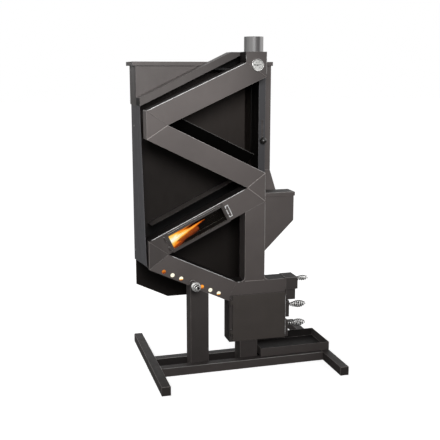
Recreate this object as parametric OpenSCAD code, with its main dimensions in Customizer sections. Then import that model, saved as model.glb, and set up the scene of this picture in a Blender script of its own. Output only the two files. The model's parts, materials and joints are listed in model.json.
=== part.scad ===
// Gravity-fed pellet stove: a zigzag of square flue tube in an open casing, with a hopper behind it,
// on a welded tube stand. X runs to the right, Y to the back, Z up. The origin is on the floor,
// at the middle of the outside box.

/* [Stand] */
// overall width, from the hopper lid's left rim to the outside of the right foot
stove_w = 840; // [800:5:880]
// length of each foot, front to back
foot_len = 664; // [620:4:720]
// side of the square tube that the feet and rails are made of
stand_tube = 38; // [34:1:42]
// side of the square tube that the posts and the flue runs share, front to back
tube_d = 80; // [70:1:90]
// depth of the tray above the rails
tray_h = 37; // [25:1:50]

/* [Fire path] */
// height of each flue tube, across its run
tube_h = 90; // [80:1:100]
// wall of the flue tubes
tube_wall = 3; // [2:0.5:5]
// slope of the top run, in degrees
slope_1 = 24.5; // [22:0.5:27]
// slope of the second run, in degrees
slope_2 = 26.5; // [24:0.5:28]
// slope of the window run, in degrees
slope_3 = 26; // [24:0.5:28]
// slope of the lowest run, in degrees
slope_4 = 25.3; // [23:0.1:27]
// outside of the flue collar
flue_d = 80; // [76:1:80]
// length of the flue collar that stands above the flue box
flue_len = 61; // [45:1:80]
// diameter of the air holes in the lowest run
air_hole_d = 18; // [12:1:20]
// length of the window frame along its run
window_len = 277; // [240:1:280]
// height of the window frame across its run
window_h = 84; // [70:1:88]

/* [Burner end] */
// height of the burner box
box_h = 212; // [190:1:230]
// width of the burner box
box_w = 258; // [230:1:270]
// height of the level burn tube
burn_h = 58; // [50:1:66]
// length of the coiled handles of the drawers and the lighting port
coil_len = 82; // [70:1:90]
// widest diameter of the drawers' coiled handles, over the wire
coil_d = 37; // [32:1:40]
// widest diameter of the lighting port's coiled handle
port_coil_d = 43; // [36:1:46]
// length of the air intake's coiled handle
intake_coil_len = 59; // [52:1:66]
// widest diameter of the air intake's coiled handle
intake_coil_d = 29; // [26:1:32]
// diameter of the handle wire
coil_wire = 4.2; // [3:0.1:4.4]
// turns in a long coiled handle
coil_turns = 8; // [6:1:9]
// turns in the air intake's coiled handle
intake_coil_turns = 6; // [5:1:7]

/* [Casing and hopper] */
// sheet of the casing
sheet = 2; // [1.5:0.5:3]
// slope of the casing roof, in degrees
roof_slope = 25.6; // [23:0.1:27]
// height of the folded front edge of the roof
fascia_h = 30; // [20:1:40]
// top of the hopper lid above the floor
hopper_top = 1319; // [1300:1:1330]
// thickness of the hopper lid over its folded rim
lid_h = 17; // [12:1:22]
// travel of the ball knob of the pellet gate
gate_travel = 80; // [50:1:85]
// width of the feed box at the right
feed_w = 130; // [110:1:140]

/* [Hidden] */
$fn = 48;

// the outside box and the planes that the welded tubes share
left_x = -stove_w / 2;
right_x = stove_w / 2;
front_y = -104;
back_y = front_y + tube_d;
// small gaps: between parts that slide, and how far a cutter runs past a face
slip = 0.5;
cut = 1;
// radial clearance of a hinge pin
pin_fit = 0.05;

// stand
stand_wall = 2.5;
foot_front_y = -foot_len / 2;
left_overhang = 24;
foot_left_x = left_x + left_overhang;
foot_right_x = right_x - stand_tube;
rail_x0 = foot_left_x + stand_tube;
rail_len = foot_right_x - rail_x0;
post_x = -220;
post_w = 80;
post_wall = 3;
short_post_x = 2;
tray_x = 94;
tray_y = -121;
tray_depth = 198;
tray_sheet = 2;
tray_rest = 0.3;

// zigzag, seen from the front: its two side faces and the heights at its corners
zig_left = -396;
zig_right = 112;
upper_corner_top = 1123;
upper_corner_bottom = 1007;
lower_corner_top = 585;
lower_corner_bottom = 465;
flue_box_w = 90;
flue_box_top = 1358;
flue_box_x = zig_right - flue_box_w;
flue_x = zig_right - flue_box_w / 2;
flue_y = front_y + tube_d / 2;
flue_wall = 2;
flue_hole_r = flue_d / 2 - flue_wall;

// heights of the top and bottom lines of the four runs at x
function run1_top(x) = upper_corner_top + tan(slope_1) * (x - zig_left);
function run1_bottom(x) = run1_top(x) - tube_h / cos(slope_1);
function run2_bottom(x) = upper_corner_bottom - tan(slope_2) * (x - zig_left);
function run2_top(x) = run2_bottom(x) + tube_h / cos(slope_2);
function run3_top(x) = lower_corner_top + tan(slope_3) * (x - zig_left);
function run3_bottom(x) = run3_top(x) - tube_h / cos(slope_3);
function run4_bottom(x) = lower_corner_bottom - tan(slope_4) * (x - zig_left);
function run4_top(x) = run4_bottom(x) + tube_h / cos(slope_4);

// inner corners, where the lines of two runs cross
cross1_x = zig_left + (run2_top(zig_left) - run1_bottom(zig_left)) / (tan(slope_1) + tan(slope_2));
cross2_x = zig_left + (run2_bottom(zig_left) - run3_top(zig_left)) / (tan(slope_2) + tan(slope_3));
cross3_x = zig_left + (run4_top(zig_left) - run3_bottom(zig_left)) / (tan(slope_3) + tan(slope_4));
cross1 = [cross1_x, run1_bottom(cross1_x)];
cross2 = [cross2_x, run2_bottom(cross2_x)];
cross3 = [cross3_x, run4_top(cross3_x)];

// burner box and the level tube on it
box_x = -47;
box_z = 114;
box_top = box_z + box_h;
box_wall = 3;
box_right = box_x + box_w;
shelf_share = 0.396;
shelf_z = box_z + shelf_share * box_h;
burn_top = box_top + burn_h;
kink_x = zig_left + (run4_top(zig_left) - burn_top) / tan(slope_4);
// slot that joins the level tube and the burner box
fire_x0 = -25;
fire_x1 = 115;
neck_len = 30;
neck_wall = 2;
neck_z = box_top + 10.5;
neck_h = burn_top - neck_z - cut;
neck_y = front_y + slip;
neck_d = tube_d - 2 * slip;

// front door of the burner box
door_x = -33;
door_t = 5.5;
door_edge = 2;
door_hinge_x = -40;
door_hinge_y = front_y - 4.5;
door_pin_r = 2;
door_barrel_r = 4;
door_barrel_h = 16;
door_lug_h = 6;
door_hinge_up = 45;
door_hinge_down = 32;
door_hinge_z = [box_z + door_hinge_up, box_top - door_hinge_down];
door_pin_len = door_barrel_h + 2 * door_lug_h + 2 * slip;
// how far the door laps the box round its opening
door_step = 12;

// drawers, front plates first
drawer_front_t = 17;
drawer_front_y = front_y + 6;
drawer_front_d = 68;
drawer_front_gap = 10;
drawer_front_h = shelf_z - box_z - drawer_front_gap;
burner_front_extra = 4;
drawer_body_x = -30;
drawer_body_y = front_y + 10;
drawer_body_d = 60;
drawer_sheet = 2;
burner_front_up = 6;
burner_front_z = shelf_z + burner_front_up;
ash_front_z = box_z;
basket_h = drawer_front_h - drawer_front_gap;
pan_h = basket_h;
shelf_end = 25;
basket_slots = 7;
basket_slot_w = 8;

// handles: a rod, a washer at its foot and a coil of wire round it
stem_r = 3;
washer_r = 6;
washer_t = 4;
coil_gap = 0.15;
coil_foot_r = stem_r + coil_wire / 2 + coil_gap;
coil_tip_r = 3.4;
coil_lean = 1.35;
coil_sides = 6;
coil_rings = 8;
stem_share = 0.5;
handle_y = flue_y;
burner_handle_up = 45.5;
burner_handle_z = burner_front_z + burner_handle_up;
ash_handle_up = 48;
ash_handle_z = ash_front_z + ash_handle_up;
drawer_stem = 13;
burner_stem = drawer_stem - burner_front_extra;
intake_stem = 5;
port_stem = 12;

// intake sleeve on the end of the level tube
sleeve_wall = 3;
sleeve_len = 53;
sleeve_x = box_right + slip;
sleeve_y = neck_y - slip - sleeve_wall;
sleeve_d = neck_d + 2 * (slip + sleeve_wall);
sleeve_z = neck_z - slip - sleeve_wall;
sleeve_h = neck_h + 2 * (slip + sleeve_wall);
intake_handle_up = 36.5;
intake_handle_z = sleeve_z + intake_handle_up;
spout_in = 5;
spout_x = sleeve_x + spout_in;
spout_w = 43;
spout_y = front_y + 4;
spout_d = 60;
spout_h = 49;

// air holes and the lighting port in the lowest run, measured up from its lower edge
hole_up = 15.5;
hole_pitch = 41;
hole_left_x = -334;
hole_right_x = -95;
port_x = -211;
port_r = 11;
port_fit = 0.3;
plug_t = 4;
plug_r = 14;
plug_in = 10;
port_z = run4_bottom(port_x) + hole_up / cos(slope_4);
air_hole_step = hole_pitch * cos(slope_4);
air_hole_x = [
    for (x = [hole_left_x, hole_right_x - 2 * air_hole_step])
        for (i = [0 : 2])
            x + i * air_hole_step];

// window on the third run: x of its middle and how far it sits below the run's middle line
window_x = -187;
window_drop = 3.5;
window_t = 9.5;
window_rim = 11;
glass_t = 4;
glass_lap = 5;
window_hinge_out = 5;
window_pin_r = 2;
window_barrel_r = 4.5;
window_barrel_l = 14;
window_lug_l = 5;
window_hinge_off = 24;
window_hinge_x = -window_len / 2 - window_hinge_out;
window_hinge_y = -slip - window_barrel_r;
window_hinge_z = [-window_hinge_off, window_hinge_off];
window_pin_len = window_barrel_l + 2 * window_lug_l + 2 * slip;
latch_r = 2;
latch_len = 50;
latch_reach = 13;
latch_off = 4.5;
latch_lug_off = 14;
catch_w = 16;
catch_t = 8;
catch_fit = 0.4;
latch_wall = 2;

// thermometer on the flue box
dial_x = flue_x + 4;
dial_z = 1304;
dial_r = 25;
dial_t = 10;
dial_wall = 1.5;
dial_face_t = 2;
dial_glass_t = 1;
needle_t = 0.8;
needle_w = 2;
needle_len = 17;
needle_tail = 6;
needle_hub_r = 2.5;
needle_pin_r = 1;
needle_lift = 2;
// angle at which the needle rests, counted from the right; its tip is then at the left
needle_rest = 180;

// casing
case_left = -406;
case_right = 110;
case_back = 188;
wall_back = 208;
wall_top_y = 0;
wall_foot_y = -92;
wall_foot_z = 478;
wall_back_z = 440;
panel_left_z = 326;
panel_low_x = -259;
panel_low_z = 256;
roof_front_y = -12;
roof_back_y = 77;
bulkhead_y = 63;
lid_clear = 4;
strip_w = 30;
strip_low_z = 800;
slot_w = 8;
slot_end = 8;
screw_at = [[136, 1047], [174, 488]];
screw_head_r = 4;
screw_head_t = 2;
screw_r = 2;
screw_len = 8;
screw_fit = 0.1;
hem_out = 3;
hem_y = 89;
hem_low_z = 930;
deflector_y = 49;
deflector_x0 = -320;
deflector_z = 1134;
deflector_tilt = 24;
low_deflector_x0 = -354;
low_deflector_z = 623;
low_deflector_tilt = 8;

// hopper
hopper_left = case_left;
hopper_right = 195;
hopper_front = 77;
hopper_back = 234;
channel_y = case_back + sheet;
hopper_rim = hopper_top - 5;
hopper_left_z = 1137;
shaft_x = 113;
shaft_low_z = 844;
shaft_join_z = 885;
deck_z = 1285;
hopper_sheet = 2;
lid_sheet = 2;
lid_x0 = left_x;
lid_x1 = 200;
lid_y0 = 67;
lid_y1 = 240;
lid_hinge_y = 249;
lid_hinge_z = hopper_top - 8;
lid_rod_r = 3;
lid_knuckle_r = 6;
lid_knuckle_w = 30;
lid_knuckles = [-330, 120];
lid_lug_w = 16;
lid_rod_len = lid_knuckle_w + 2 * lid_lug_w + 2 * slip;
lug_drop = 24;
lug_top_z = hopper_top - lid_h - 2;

// feed chute, feed box and gate
feed_top = 752;
feed_side_z = 644;
feed_foot_z = feed_side_z - feed_w;
feed_wall = 2.5;
chute_back_z = 600;
chute_wall = 2;
mouth_low = 612;
mouth_high = 738;
chute_top_z = 745;
chute_fall = shaft_low_z - chute_top_z - 3 * chute_wall;
// height of the chute's underside at y
function chute_floor(y) = chute_back_z + (shaft_low_z - chute_back_z) * (y - back_y) / (hopper_back - back_y);
feed_lid_h = 17;
feed_lid_lap = 3.5;
feed_lid_t = 2;
feed_rim_z = feed_top + feed_lid_h - feed_lid_t - 1;
floor_t = feed_wall / cos(45);
gate_x = 126;
gate_z = 985;
gate_y = hopper_front + hopper_sheet + 2;
gate_t = 3;
gate_gap = 10;
gate_foot_z = chute_floor(gate_y + gate_t) + gate_gap;
gate_top_up = 85;
gate_rod_r = 2.5;
knob_r = 14;
knob_y = -30;

paint = [0.24, 0.23, 0.22];
dark_paint = [0.1, 0.1, 0.1];
wall_paint = [0.28, 0.28, 0.3];
steel = [0.75, 0.75, 0.74];
bare_steel = [0.5, 0.5, 0.5];
glass_tint = [0.55, 0.6, 0.62];
black_knob = [0.07, 0.07, 0.07];

// a prism from an outline in X and Z, between two depths
module slab(points, y0, y1) {
    translate([0, y1, 0])
        rotate([90, 0, 0])
            linear_extrude(height = y1 - y0)
                polygon(points);
}

// a prism from an outline in Y and Z, between two widths
module cheek(points, x0, x1) {
    translate([x0, 0, 0])
        rotate([90, 0, 90])
            linear_extrude(height = x1 - x0)
                polygon(points);
}

// a rectangular tube along Z, open at both ends
module tube_up(w, d, h, wall) {
    difference() {
        cube([w, d, h]);
        translate([wall, wall, -cut])
            cube([w - 2 * wall, d - 2 * wall, h + 2 * cut]);
    }
}

// the hollow of a sloping run, from its two outer heights at x0; a falling run has a slope below zero
module run_hollow(low, high, slope, x0, x1) {
    in = tube_wall / cos(slope);
    rise = tan(slope) * (x1 - x0);
    slab([[x0, low + in], [x1, low + in + rise], [x1, high - in + rise], [x0, high - in]],
        front_y + tube_wall, back_y - tube_wall);
}

// a square tube lying along X or Y, without its end walls
module tube_x(len, wall) {
    difference() {
        cube([len, stand_tube, stand_tube]);
        translate([-cut, wall, wall])
            cube([len + 2 * cut, stand_tube - 2 * wall, stand_tube - 2 * wall]);
    }
}
module foot(x) {
    color(paint)
        translate([x, foot_front_y + stand_wall, 0])
            difference() {
                cube([stand_tube, foot_len - 2 * stand_wall, stand_tube]);
                translate([stand_wall, -cut, stand_wall])
                    cube([stand_tube - 2 * stand_wall, foot_len, stand_tube - 2 * stand_wall]);
            }
}
module foot_left() {
    foot(foot_left_x);
}
module foot_right() {
    foot(foot_right_x);
}
// four equal plates that close the feet
module foot_end_plates() {
    color(paint)
        for (x = [foot_left_x, foot_right_x])
            for (y = [foot_front_y, -foot_front_y - stand_wall])
                translate([x, y, 0])
                    cube([stand_tube, stand_wall, stand_tube]);
}
module rail_front() {
    color(paint)
        translate([rail_x0, front_y - stand_tube, 0])
            tube_x(rail_len, stand_wall);
}
module rail_back() {
    color(paint)
        translate([rail_x0, back_y, 0])
            tube_x(rail_len, stand_wall);
}
// stands between the rails and carries the lowest run on its sloped top
module main_post() {
    color(paint)
        intersection() {
            translate([post_x, front_y, 0])
                tube_up(post_w, tube_d, lower_corner_bottom, post_wall);
            slab([[post_x, 0], [post_x + post_w, 0], [post_x + post_w, run4_bottom(post_x + post_w)],
                [post_x, run4_bottom(post_x)]], front_y - cut, back_y + cut);
        }
}
module short_post() {
    color(paint)
        translate([short_post_x, front_y, 0])
            tube_up(post_w, tube_d, box_z, post_wall);
}
// open tray that lies on the rails and the right foot
module pellet_tray() {
    tray_w = right_x - tray_x;
    color(paint)
        translate([tray_x, tray_y, stand_tube + tray_rest])
            difference() {
                cube([tray_w, tray_depth, tray_h]);
                translate([tray_sheet, tray_sheet, tray_sheet])
                    cube([tray_w - 2 * tray_sheet, tray_depth - 2 * tray_sheet, tray_h]);
            }
}

// burner box: door opening in front, two drawer openings at the right, a fire slot in the top
module burner_box() {
    in_w = box_w - 2 * box_wall;
    in_d = tube_d - 2 * box_wall;
    shelf_w = in_w - 2 * shelf_end;
    slide_y = drawer_body_y - slip;
    slide_d = drawer_body_d + 2 * slip;
    color(paint)
        difference() {
            union() {
                difference() {
                    translate([box_x, front_y, box_z])
                        cube([box_w, tube_d, box_h]);
                    translate([box_x + box_wall, front_y + box_wall, box_z + box_wall])
                        cube([in_w, in_d, shelf_z - box_z - box_wall]);
                    translate([box_x + box_wall, front_y + box_wall, shelf_z + box_wall])
                        cube([in_w, in_d, box_top - shelf_z - 2 * box_wall]);
                }
                for (z = door_hinge_z)
                    for (side = [-1, 1])
                        translate([door_hinge_x, 0, z + side * (door_barrel_h + door_lug_h + 2 * slip) / 2])
                            door_lug();
            }
            // ash falls through the shelf
            translate([box_x + box_wall + shelf_end, drawer_body_y + drawer_sheet, shelf_z - cut])
                cube([shelf_w, drawer_body_d - 2 * drawer_sheet, box_wall + 2 * cut]);
            // door opening
            translate([door_x + door_step, front_y - cut, box_z + door_step])
                cube([box_right - door_x - 2 * door_step, box_wall + cut + slip, box_h - 2 * door_step]);
            // drawer openings
            translate([box_right - box_wall - cut, slide_y, shelf_z + box_wall])
                cube([box_wall + 2 * cut, slide_d, basket_h + 2 * slip]);
            translate([box_right - box_wall - cut, slide_y, box_z + box_wall])
                cube([box_wall + 2 * cut, slide_d, pan_h + 2 * slip]);
            // fire slot under the level tube
            translate([fire_x0, front_y + box_wall, box_top - box_wall - cut])
                cube([fire_x1 - fire_x0, in_d, box_wall + 2 * cut]);
            for (z = door_hinge_z)
                translate([door_hinge_x, door_hinge_y, z - door_pin_len / 2 - cut])
                    cylinder(r = door_pin_r + pin_fit, h = door_pin_len + 2 * cut);
        }
}
// half of a hinge on the burner box
module door_lug() {
    translate([0, door_hinge_y, -door_lug_h / 2])
        cylinder(r = door_barrel_r, h = door_lug_h);
    translate([-door_barrel_r, door_hinge_y, -door_lug_h / 2])
        cube([2 * door_barrel_r, front_y - door_hinge_y, door_lug_h]);
}
module burner_door() {
    color(paint)
        difference() {
            union() {
                translate([door_x, front_y - slip - door_t, box_z + door_edge])
                    cube([box_right - door_x, door_t, box_h - 2 * door_edge]);
                for (z = door_hinge_z)
                    translate([door_hinge_x, 0, z - door_barrel_h / 2]) {
                        translate([0, door_hinge_y, 0])
                            cylinder(r = door_barrel_r, h = door_barrel_h);
                        translate([0, front_y - slip - door_t, 0])
                            cube([door_x - door_hinge_x + cut, door_t, door_barrel_h]);
                    }
            }
            for (z = door_hinge_z)
                translate([door_hinge_x, door_hinge_y, z - door_barrel_h / 2 - cut])
                    cylinder(r = door_pin_r + pin_fit, h = door_barrel_h + 2 * cut);
        }
}
module burner_door_pins() {
    color(bare_steel)
        for (z = door_hinge_z)
            translate([door_hinge_x, door_hinge_y, z - door_pin_len / 2])
                cylinder(r = door_pin_r, h = door_pin_len);
}

// the two drawers; each is a front plate and a body that slides in the burner box
module burner_drawer_front() {
    color(paint)
        translate([box_right + slip, drawer_front_y, burner_front_z])
            cube([drawer_front_t + burner_front_extra, drawer_front_d, drawer_front_h]);
}
module ash_drawer_front() {
    color(paint)
        translate([box_right + slip, drawer_front_y, ash_front_z])
            cube([drawer_front_t, drawer_front_d, drawer_front_h]);
}
module drawer_body(z, h) {
    len = box_right + slip - drawer_body_x;
    translate([drawer_body_x, drawer_body_y, z])
        difference() {
            cube([len, drawer_body_d, h]);
            translate([drawer_sheet, drawer_sheet, drawer_sheet])
                cube([len - 2 * drawer_sheet, drawer_body_d - 2 * drawer_sheet, h]);
        }
}
// the burning pellets lie on its slotted floor
module burner_basket() {
    z = shelf_z + box_wall + slip;
    len = box_right - drawer_body_x;
    pitch = len / (basket_slots + 1);
    color(bare_steel)
        difference() {
            drawer_body(z, basket_h);
            for (i = [1 : basket_slots])
                translate([drawer_body_x + i * pitch - basket_slot_w / 2,
                    drawer_body_y + 2 * basket_slot_w, z - cut])
                    cube([basket_slot_w, drawer_body_d - 4 * basket_slot_w, drawer_sheet + 2 * cut]);
        }
}
module ash_pan() {
    color(bare_steel)
        drawer_body(box_z + box_wall + slip, pan_h);
}

// coiled handles, each given by its length, widest diameter and turns
drawer_coil = [coil_len, coil_d, coil_turns];
port_coil = [coil_len, port_coil_d, coil_turns];
intake_coil = [intake_coil_len, intake_coil_d, intake_coil_turns];
// centre line of the wire of coil c from its foot (t = 0) to the closed tip (t = 1), along Z
function coil_r(c, t) = coil_foot_r + (coil_tip_r - coil_foot_r) * t
    + ((c[1] - coil_wire) / 2 - coil_foot_r) * sin(180 * pow(t, coil_lean));
function coil_at(c, t) = [coil_r(c, t) * cos(360 * c[2] * t), coil_r(c, t) * sin(360 * c[2] * t),
    coil_wire / 2 + t * (c[0] - coil_wire)];
function unit(v) = v / norm(v);
function coil_n(c) = c[2] * coil_rings;
function coil_dir(c, t) = let (h = 1 / (4 * coil_n(c)))
    unit(coil_at(c, min(1, t + h)) - coil_at(c, max(0, t - h)));
function coil_out(c, t) = unit(cross(coil_dir(c, t), [0, 0, 1]));
function coil_up(c, t) = cross(coil_dir(c, t), coil_out(c, t));
function coil_line(c) = [for (i = [0 : coil_n(c)]) coil_at(c, i / coil_n(c))];
// nearest approach of two stretches of the wire at least half a turn apart
function coil_gap_least(c) = let (line = coil_line(c))
    min([
        for (i = [0 : coil_n(c)])
            for (j = [i + coil_rings / 2 : coil_n(c)])
                norm(line[i] - line[j])]) - coil_wire;
echo("least gap of the drawers' coils to themselves", coil_gap_least(drawer_coil));
echo("least gap of the port's coil to itself", coil_gap_least(port_coil));
echo("least gap of the intake's coil to itself", coil_gap_least(intake_coil));
module coil(c) {
    n = coil_n(c);
    points = [
        for (i = [0 : n])
            for (j = [0 : coil_sides - 1])
                coil_at(c, i / n) + coil_wire / 2 * (cos(360 * j / coil_sides) * coil_out(c, i / n)
                    + sin(360 * j / coil_sides) * coil_up(c, i / n))];
    faces = [
        for (i = [0 : n - 1])
            for (j = [0 : coil_sides - 1])
                let (a = i * coil_sides + j, b = i * coil_sides + (j + 1) % coil_sides)
                    each [[a, a + coil_sides, b], [b, a + coil_sides, b + coil_sides]],
        for (j = [1 : coil_sides - 2])
            [0, j, j + 1],
        for (j = [1 : coil_sides - 2])
            [n * coil_sides, n * coil_sides + j + 1, n * coil_sides + j]];
    color(steel)
        polyhedron(points = points, faces = faces);
}
// rod and washer that coil c is wound on; the coil starts lead above the washer's foot
module stem(lead, c) {
    color(steel) {
        cylinder(r = washer_r, h = washer_t);
        cylinder(r = stem_r, h = lead + c[0] * stem_share);
    }
}
module along_x(x, z) {
    translate([x, handle_y, z])
        rotate([0, 90, 0])
            children();
}
module along_front(x, y, z) {
    translate([x, y, z])
        rotate([90, 0, 0])
            children();
}
burner_handle_x = box_right + slip + drawer_front_t + burner_front_extra;
ash_handle_x = box_right + slip + drawer_front_t;
intake_handle_x = sleeve_x + sleeve_len + sleeve_wall;
module burner_handle_stem() {
    along_x(burner_handle_x, burner_handle_z)
        stem(burner_stem, drawer_coil);
}
module burner_handle_coil() {
    along_x(burner_handle_x + burner_stem, burner_handle_z)
        coil(drawer_coil);
}
module ash_handle_stem() {
    along_x(ash_handle_x, ash_handle_z)
        stem(drawer_stem, drawer_coil);
}
module ash_handle_coil() {
    along_x(ash_handle_x + drawer_stem, ash_handle_z)
        coil(drawer_coil);
}
module intake_handle_stem() {
    along_x(intake_handle_x, intake_handle_z)
        stem(intake_stem, intake_coil);
}
module intake_handle_coil() {
    along_x(intake_handle_x + intake_stem, intake_handle_z)
        coil(intake_coil);
}

// level tube over the burner box; the feed tube stands on it and the intake neck leaves its right end
module burn_tube() {
    in_d = tube_d - 2 * tube_wall;
    color(paint)
        difference() {
            union() {
                slab([[box_x, box_top], [box_right, box_top], [box_right, burn_top], [kink_x, burn_top]],
                    front_y, back_y);
                translate([box_right - cut, neck_y, neck_z])
                    cube([neck_len + cut, neck_d, neck_h]);
            }
            slab([[box_x - burn_h, box_top + tube_wall], [box_right - tube_wall, box_top + tube_wall],
                [box_right - tube_wall, burn_top - tube_wall], [box_x - burn_h, burn_top - tube_wall]],
                front_y + tube_wall, back_y - tube_wall);
            translate([box_right - tube_wall - cut, neck_y + neck_wall, neck_z + neck_wall])
                cube([neck_len + tube_wall + 2 * cut, neck_d - 2 * neck_wall, neck_h - 2 * neck_wall]);
            // the air comes up out of the spout through this notch
            translate([spout_x + sleeve_wall, spout_y + sleeve_wall, neck_z - cut])
                cube([neck_len, spout_d - 2 * sleeve_wall, neck_wall + 2 * cut]);
            translate([fire_x0, front_y + tube_wall, box_top - cut])
                cube([fire_x1 - fire_x0, in_d, tube_wall + 2 * cut]);
            translate([flue_box_x + tube_wall, front_y + tube_wall, burn_top - tube_wall - cut])
                cube([flue_box_w - 2 * tube_wall, in_d, tube_wall + 2 * cut]);
        }
}
// air intake: a cap that slides on the neck, with a spout under it that is open below
module intake_sleeve() {
    color(paint)
        difference() {
            union() {
                translate([sleeve_x, sleeve_y, sleeve_z])
                    cube([sleeve_len + sleeve_wall, sleeve_d, sleeve_h]);
                translate([spout_x, spout_y, sleeve_z - spout_h])
                    cube([spout_w, spout_d, spout_h + cut]);
            }
            translate([sleeve_x - cut, sleeve_y + sleeve_wall, sleeve_z + sleeve_wall])
                cube([sleeve_len + cut, sleeve_d - 2 * sleeve_wall, sleeve_h - 2 * sleeve_wall]);
            translate([spout_x + sleeve_wall, spout_y + sleeve_wall, sleeve_z - spout_h - cut])
                cube([spout_w - 2 * sleeve_wall, spout_d - 2 * sleeve_wall, spout_h + sleeve_wall + 2 * cut]);
        }
}

// the four runs of the zigzag, from the top down, and the corner pieces between them
far_left = zig_left - tube_d;
far_right = zig_right + tube_d;
module flue_run_1() {
    color(paint)
        difference() {
            slab([[zig_left, upper_corner_top], cross1, [zig_right, run1_bottom(zig_right)],
                [flue_box_x, run1_top(flue_box_x)]], front_y, back_y);
            run_hollow(run1_bottom(far_left), run1_top(far_left), slope_1, far_left, far_right);
        }
}
module flue_run_2() {
    color(paint)
        difference() {
            slab([[zig_left, upper_corner_bottom], cross2, [zig_right, run2_top(zig_right)], cross1],
                front_y, back_y);
            run_hollow(run2_bottom(far_left), run2_top(far_left), -slope_2, far_left, far_right);
        }
}
// moves its children to the middle of the window, with X along the run and Y = 0 on its front
module at_window() {
    translate([window_x, front_y, (run3_top(window_x) + run3_bottom(window_x)) / 2 - window_drop])
        rotate([0, -slope_3, 0])
            children();
}
window_in_l = window_len - 2 * window_rim;
window_in_h = window_h - 2 * window_rim;
module flue_run_3() {
    color(paint)
        difference() {
            union() {
                difference() {
                    slab([[zig_left, lower_corner_top], cross3, [zig_right, run3_bottom(zig_right)],
                        cross2], front_y, back_y);
                    run_hollow(run3_bottom(far_left), run3_top(far_left), slope_3, far_left, far_right);
                }
                at_window() {
                    for (z = window_hinge_z)
                        for (side = [-1, 1])
                            translate([0, 0, z + side * (window_barrel_l + window_lug_l + 2 * slip) / 2])
                                window_lug();
                }
            }
            at_window() {
                translate([-window_in_l / 2, -cut, -window_in_h / 2])
                    cube([window_in_l, tube_wall + 2 * cut, window_in_h]);
                for (z = window_hinge_z)
                    translate([window_hinge_x, window_hinge_y, z - window_pin_len / 2 - cut])
                        cylinder(r = window_pin_r + pin_fit, h = window_pin_len + 2 * cut);
            }
        }
}
module window_lug() {
    translate([window_hinge_x, window_hinge_y, -window_lug_l / 2])
        cylinder(r = window_barrel_r, h = window_lug_l);
    translate([window_hinge_x - window_barrel_r, window_hinge_y, -window_lug_l / 2])
        cube([2 * window_barrel_r, -window_hinge_y, window_lug_l]);
}
module flue_run_4() {
    color(paint)
        difference() {
            slab([[zig_left, lower_corner_bottom], [box_x, run4_bottom(box_x)], [box_x, box_top],
                [kink_x, burn_top], cross3], front_y, back_y);
            run_hollow(run4_bottom(far_left), run4_top(far_left), -slope_4, far_left, far_right);
            for (x = air_hole_x)
                translate([x, front_y - cut, run4_bottom(x) + hole_up / cos(slope_4)])
                    rotate([-90, 0, 0])
                        cylinder(d = air_hole_d, h = tube_wall + 2 * cut);
            translate([port_x, front_y - cut, port_z])
                rotate([-90, 0, 0])
                    cylinder(r = port_r + port_fit, h = tube_wall + 2 * cut);
        }
}
module corner_upper_left() {
    color(paint)
        difference() {
            slab([[zig_left, upper_corner_top], [zig_left, upper_corner_bottom], cross1], front_y, back_y);
            translate([zig_left + tube_wall, front_y + tube_wall, upper_corner_bottom])
                cube([tube_d, tube_d - 2 * tube_wall, upper_corner_top - upper_corner_bottom]);
        }
}
module corner_right() {
    color(paint)
        difference() {
            slab([cross2, [zig_right, run3_bottom(zig_right)], [zig_right, run2_top(zig_right)]],
                front_y, back_y);
            translate([zig_right - tube_wall - tube_d, front_y + tube_wall, run3_bottom(zig_right)])
                cube([tube_d, tube_d - 2 * tube_wall, run2_top(zig_right) - run3_bottom(zig_right)]);
        }
}
module corner_lower_left() {
    color(paint)
        difference() {
            slab([[zig_left, lower_corner_top], [zig_left, lower_corner_bottom], cross3], front_y, back_y);
            translate([zig_left + tube_wall, front_y + tube_wall, lower_corner_bottom])
                cube([tube_d, tube_d - 2 * tube_wall, lower_corner_top - lower_corner_bottom]);
        }
}
// pellets fall down it from the feed box to the burner
module feed_tube() {
    color(paint)
        difference() {
            slab([[flue_box_x, burn_top], [zig_right, burn_top], [zig_right, run3_bottom(zig_right)],
                [flue_box_x, run3_bottom(flue_box_x)]], front_y, back_y);
            translate([flue_box_x + tube_wall, front_y + tube_wall, burn_top - cut])
                cube([flue_box_w - 2 * tube_wall, tube_d - 2 * tube_wall, feed_top]);
            translate([zig_right - tube_wall - cut, front_y + tube_wall, feed_foot_z + feed_wall])
                cube([tube_wall + 2 * cut, tube_d - 2 * tube_wall, feed_side_z - feed_foot_z]);
        }
}
// top of the zigzag, with a round hole for the collar in its top plate
module flue_box() {
    color(paint)
        difference() {
            slab([[flue_box_x, run1_top(flue_box_x)], [zig_right, run1_bottom(zig_right)],
                [zig_right, flue_box_top], [flue_box_x, flue_box_top]], front_y, back_y);
            translate([flue_box_x + tube_wall, front_y + tube_wall, run1_bottom(zig_right) - cut])
                cube([flue_box_w - 2 * tube_wall, tube_d - 2 * tube_wall,
                    flue_box_top - tube_wall - run1_bottom(zig_right) + cut]);
            translate([flue_x, flue_y, flue_box_top - tube_wall - cut])
                cylinder(r = flue_hole_r, h = tube_wall + 2 * cut, $fn = 96);
        }
}
module flue_collar() {
    color(bare_steel)
        translate([flue_x, flue_y, flue_box_top])
            difference() {
                cylinder(d = flue_d, h = flue_len, $fn = 96);
                translate([0, 0, -cut])
                    cylinder(d = flue_d - 2 * flue_wall, h = flue_len + 2 * cut, $fn = 96);
            }
}

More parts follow.
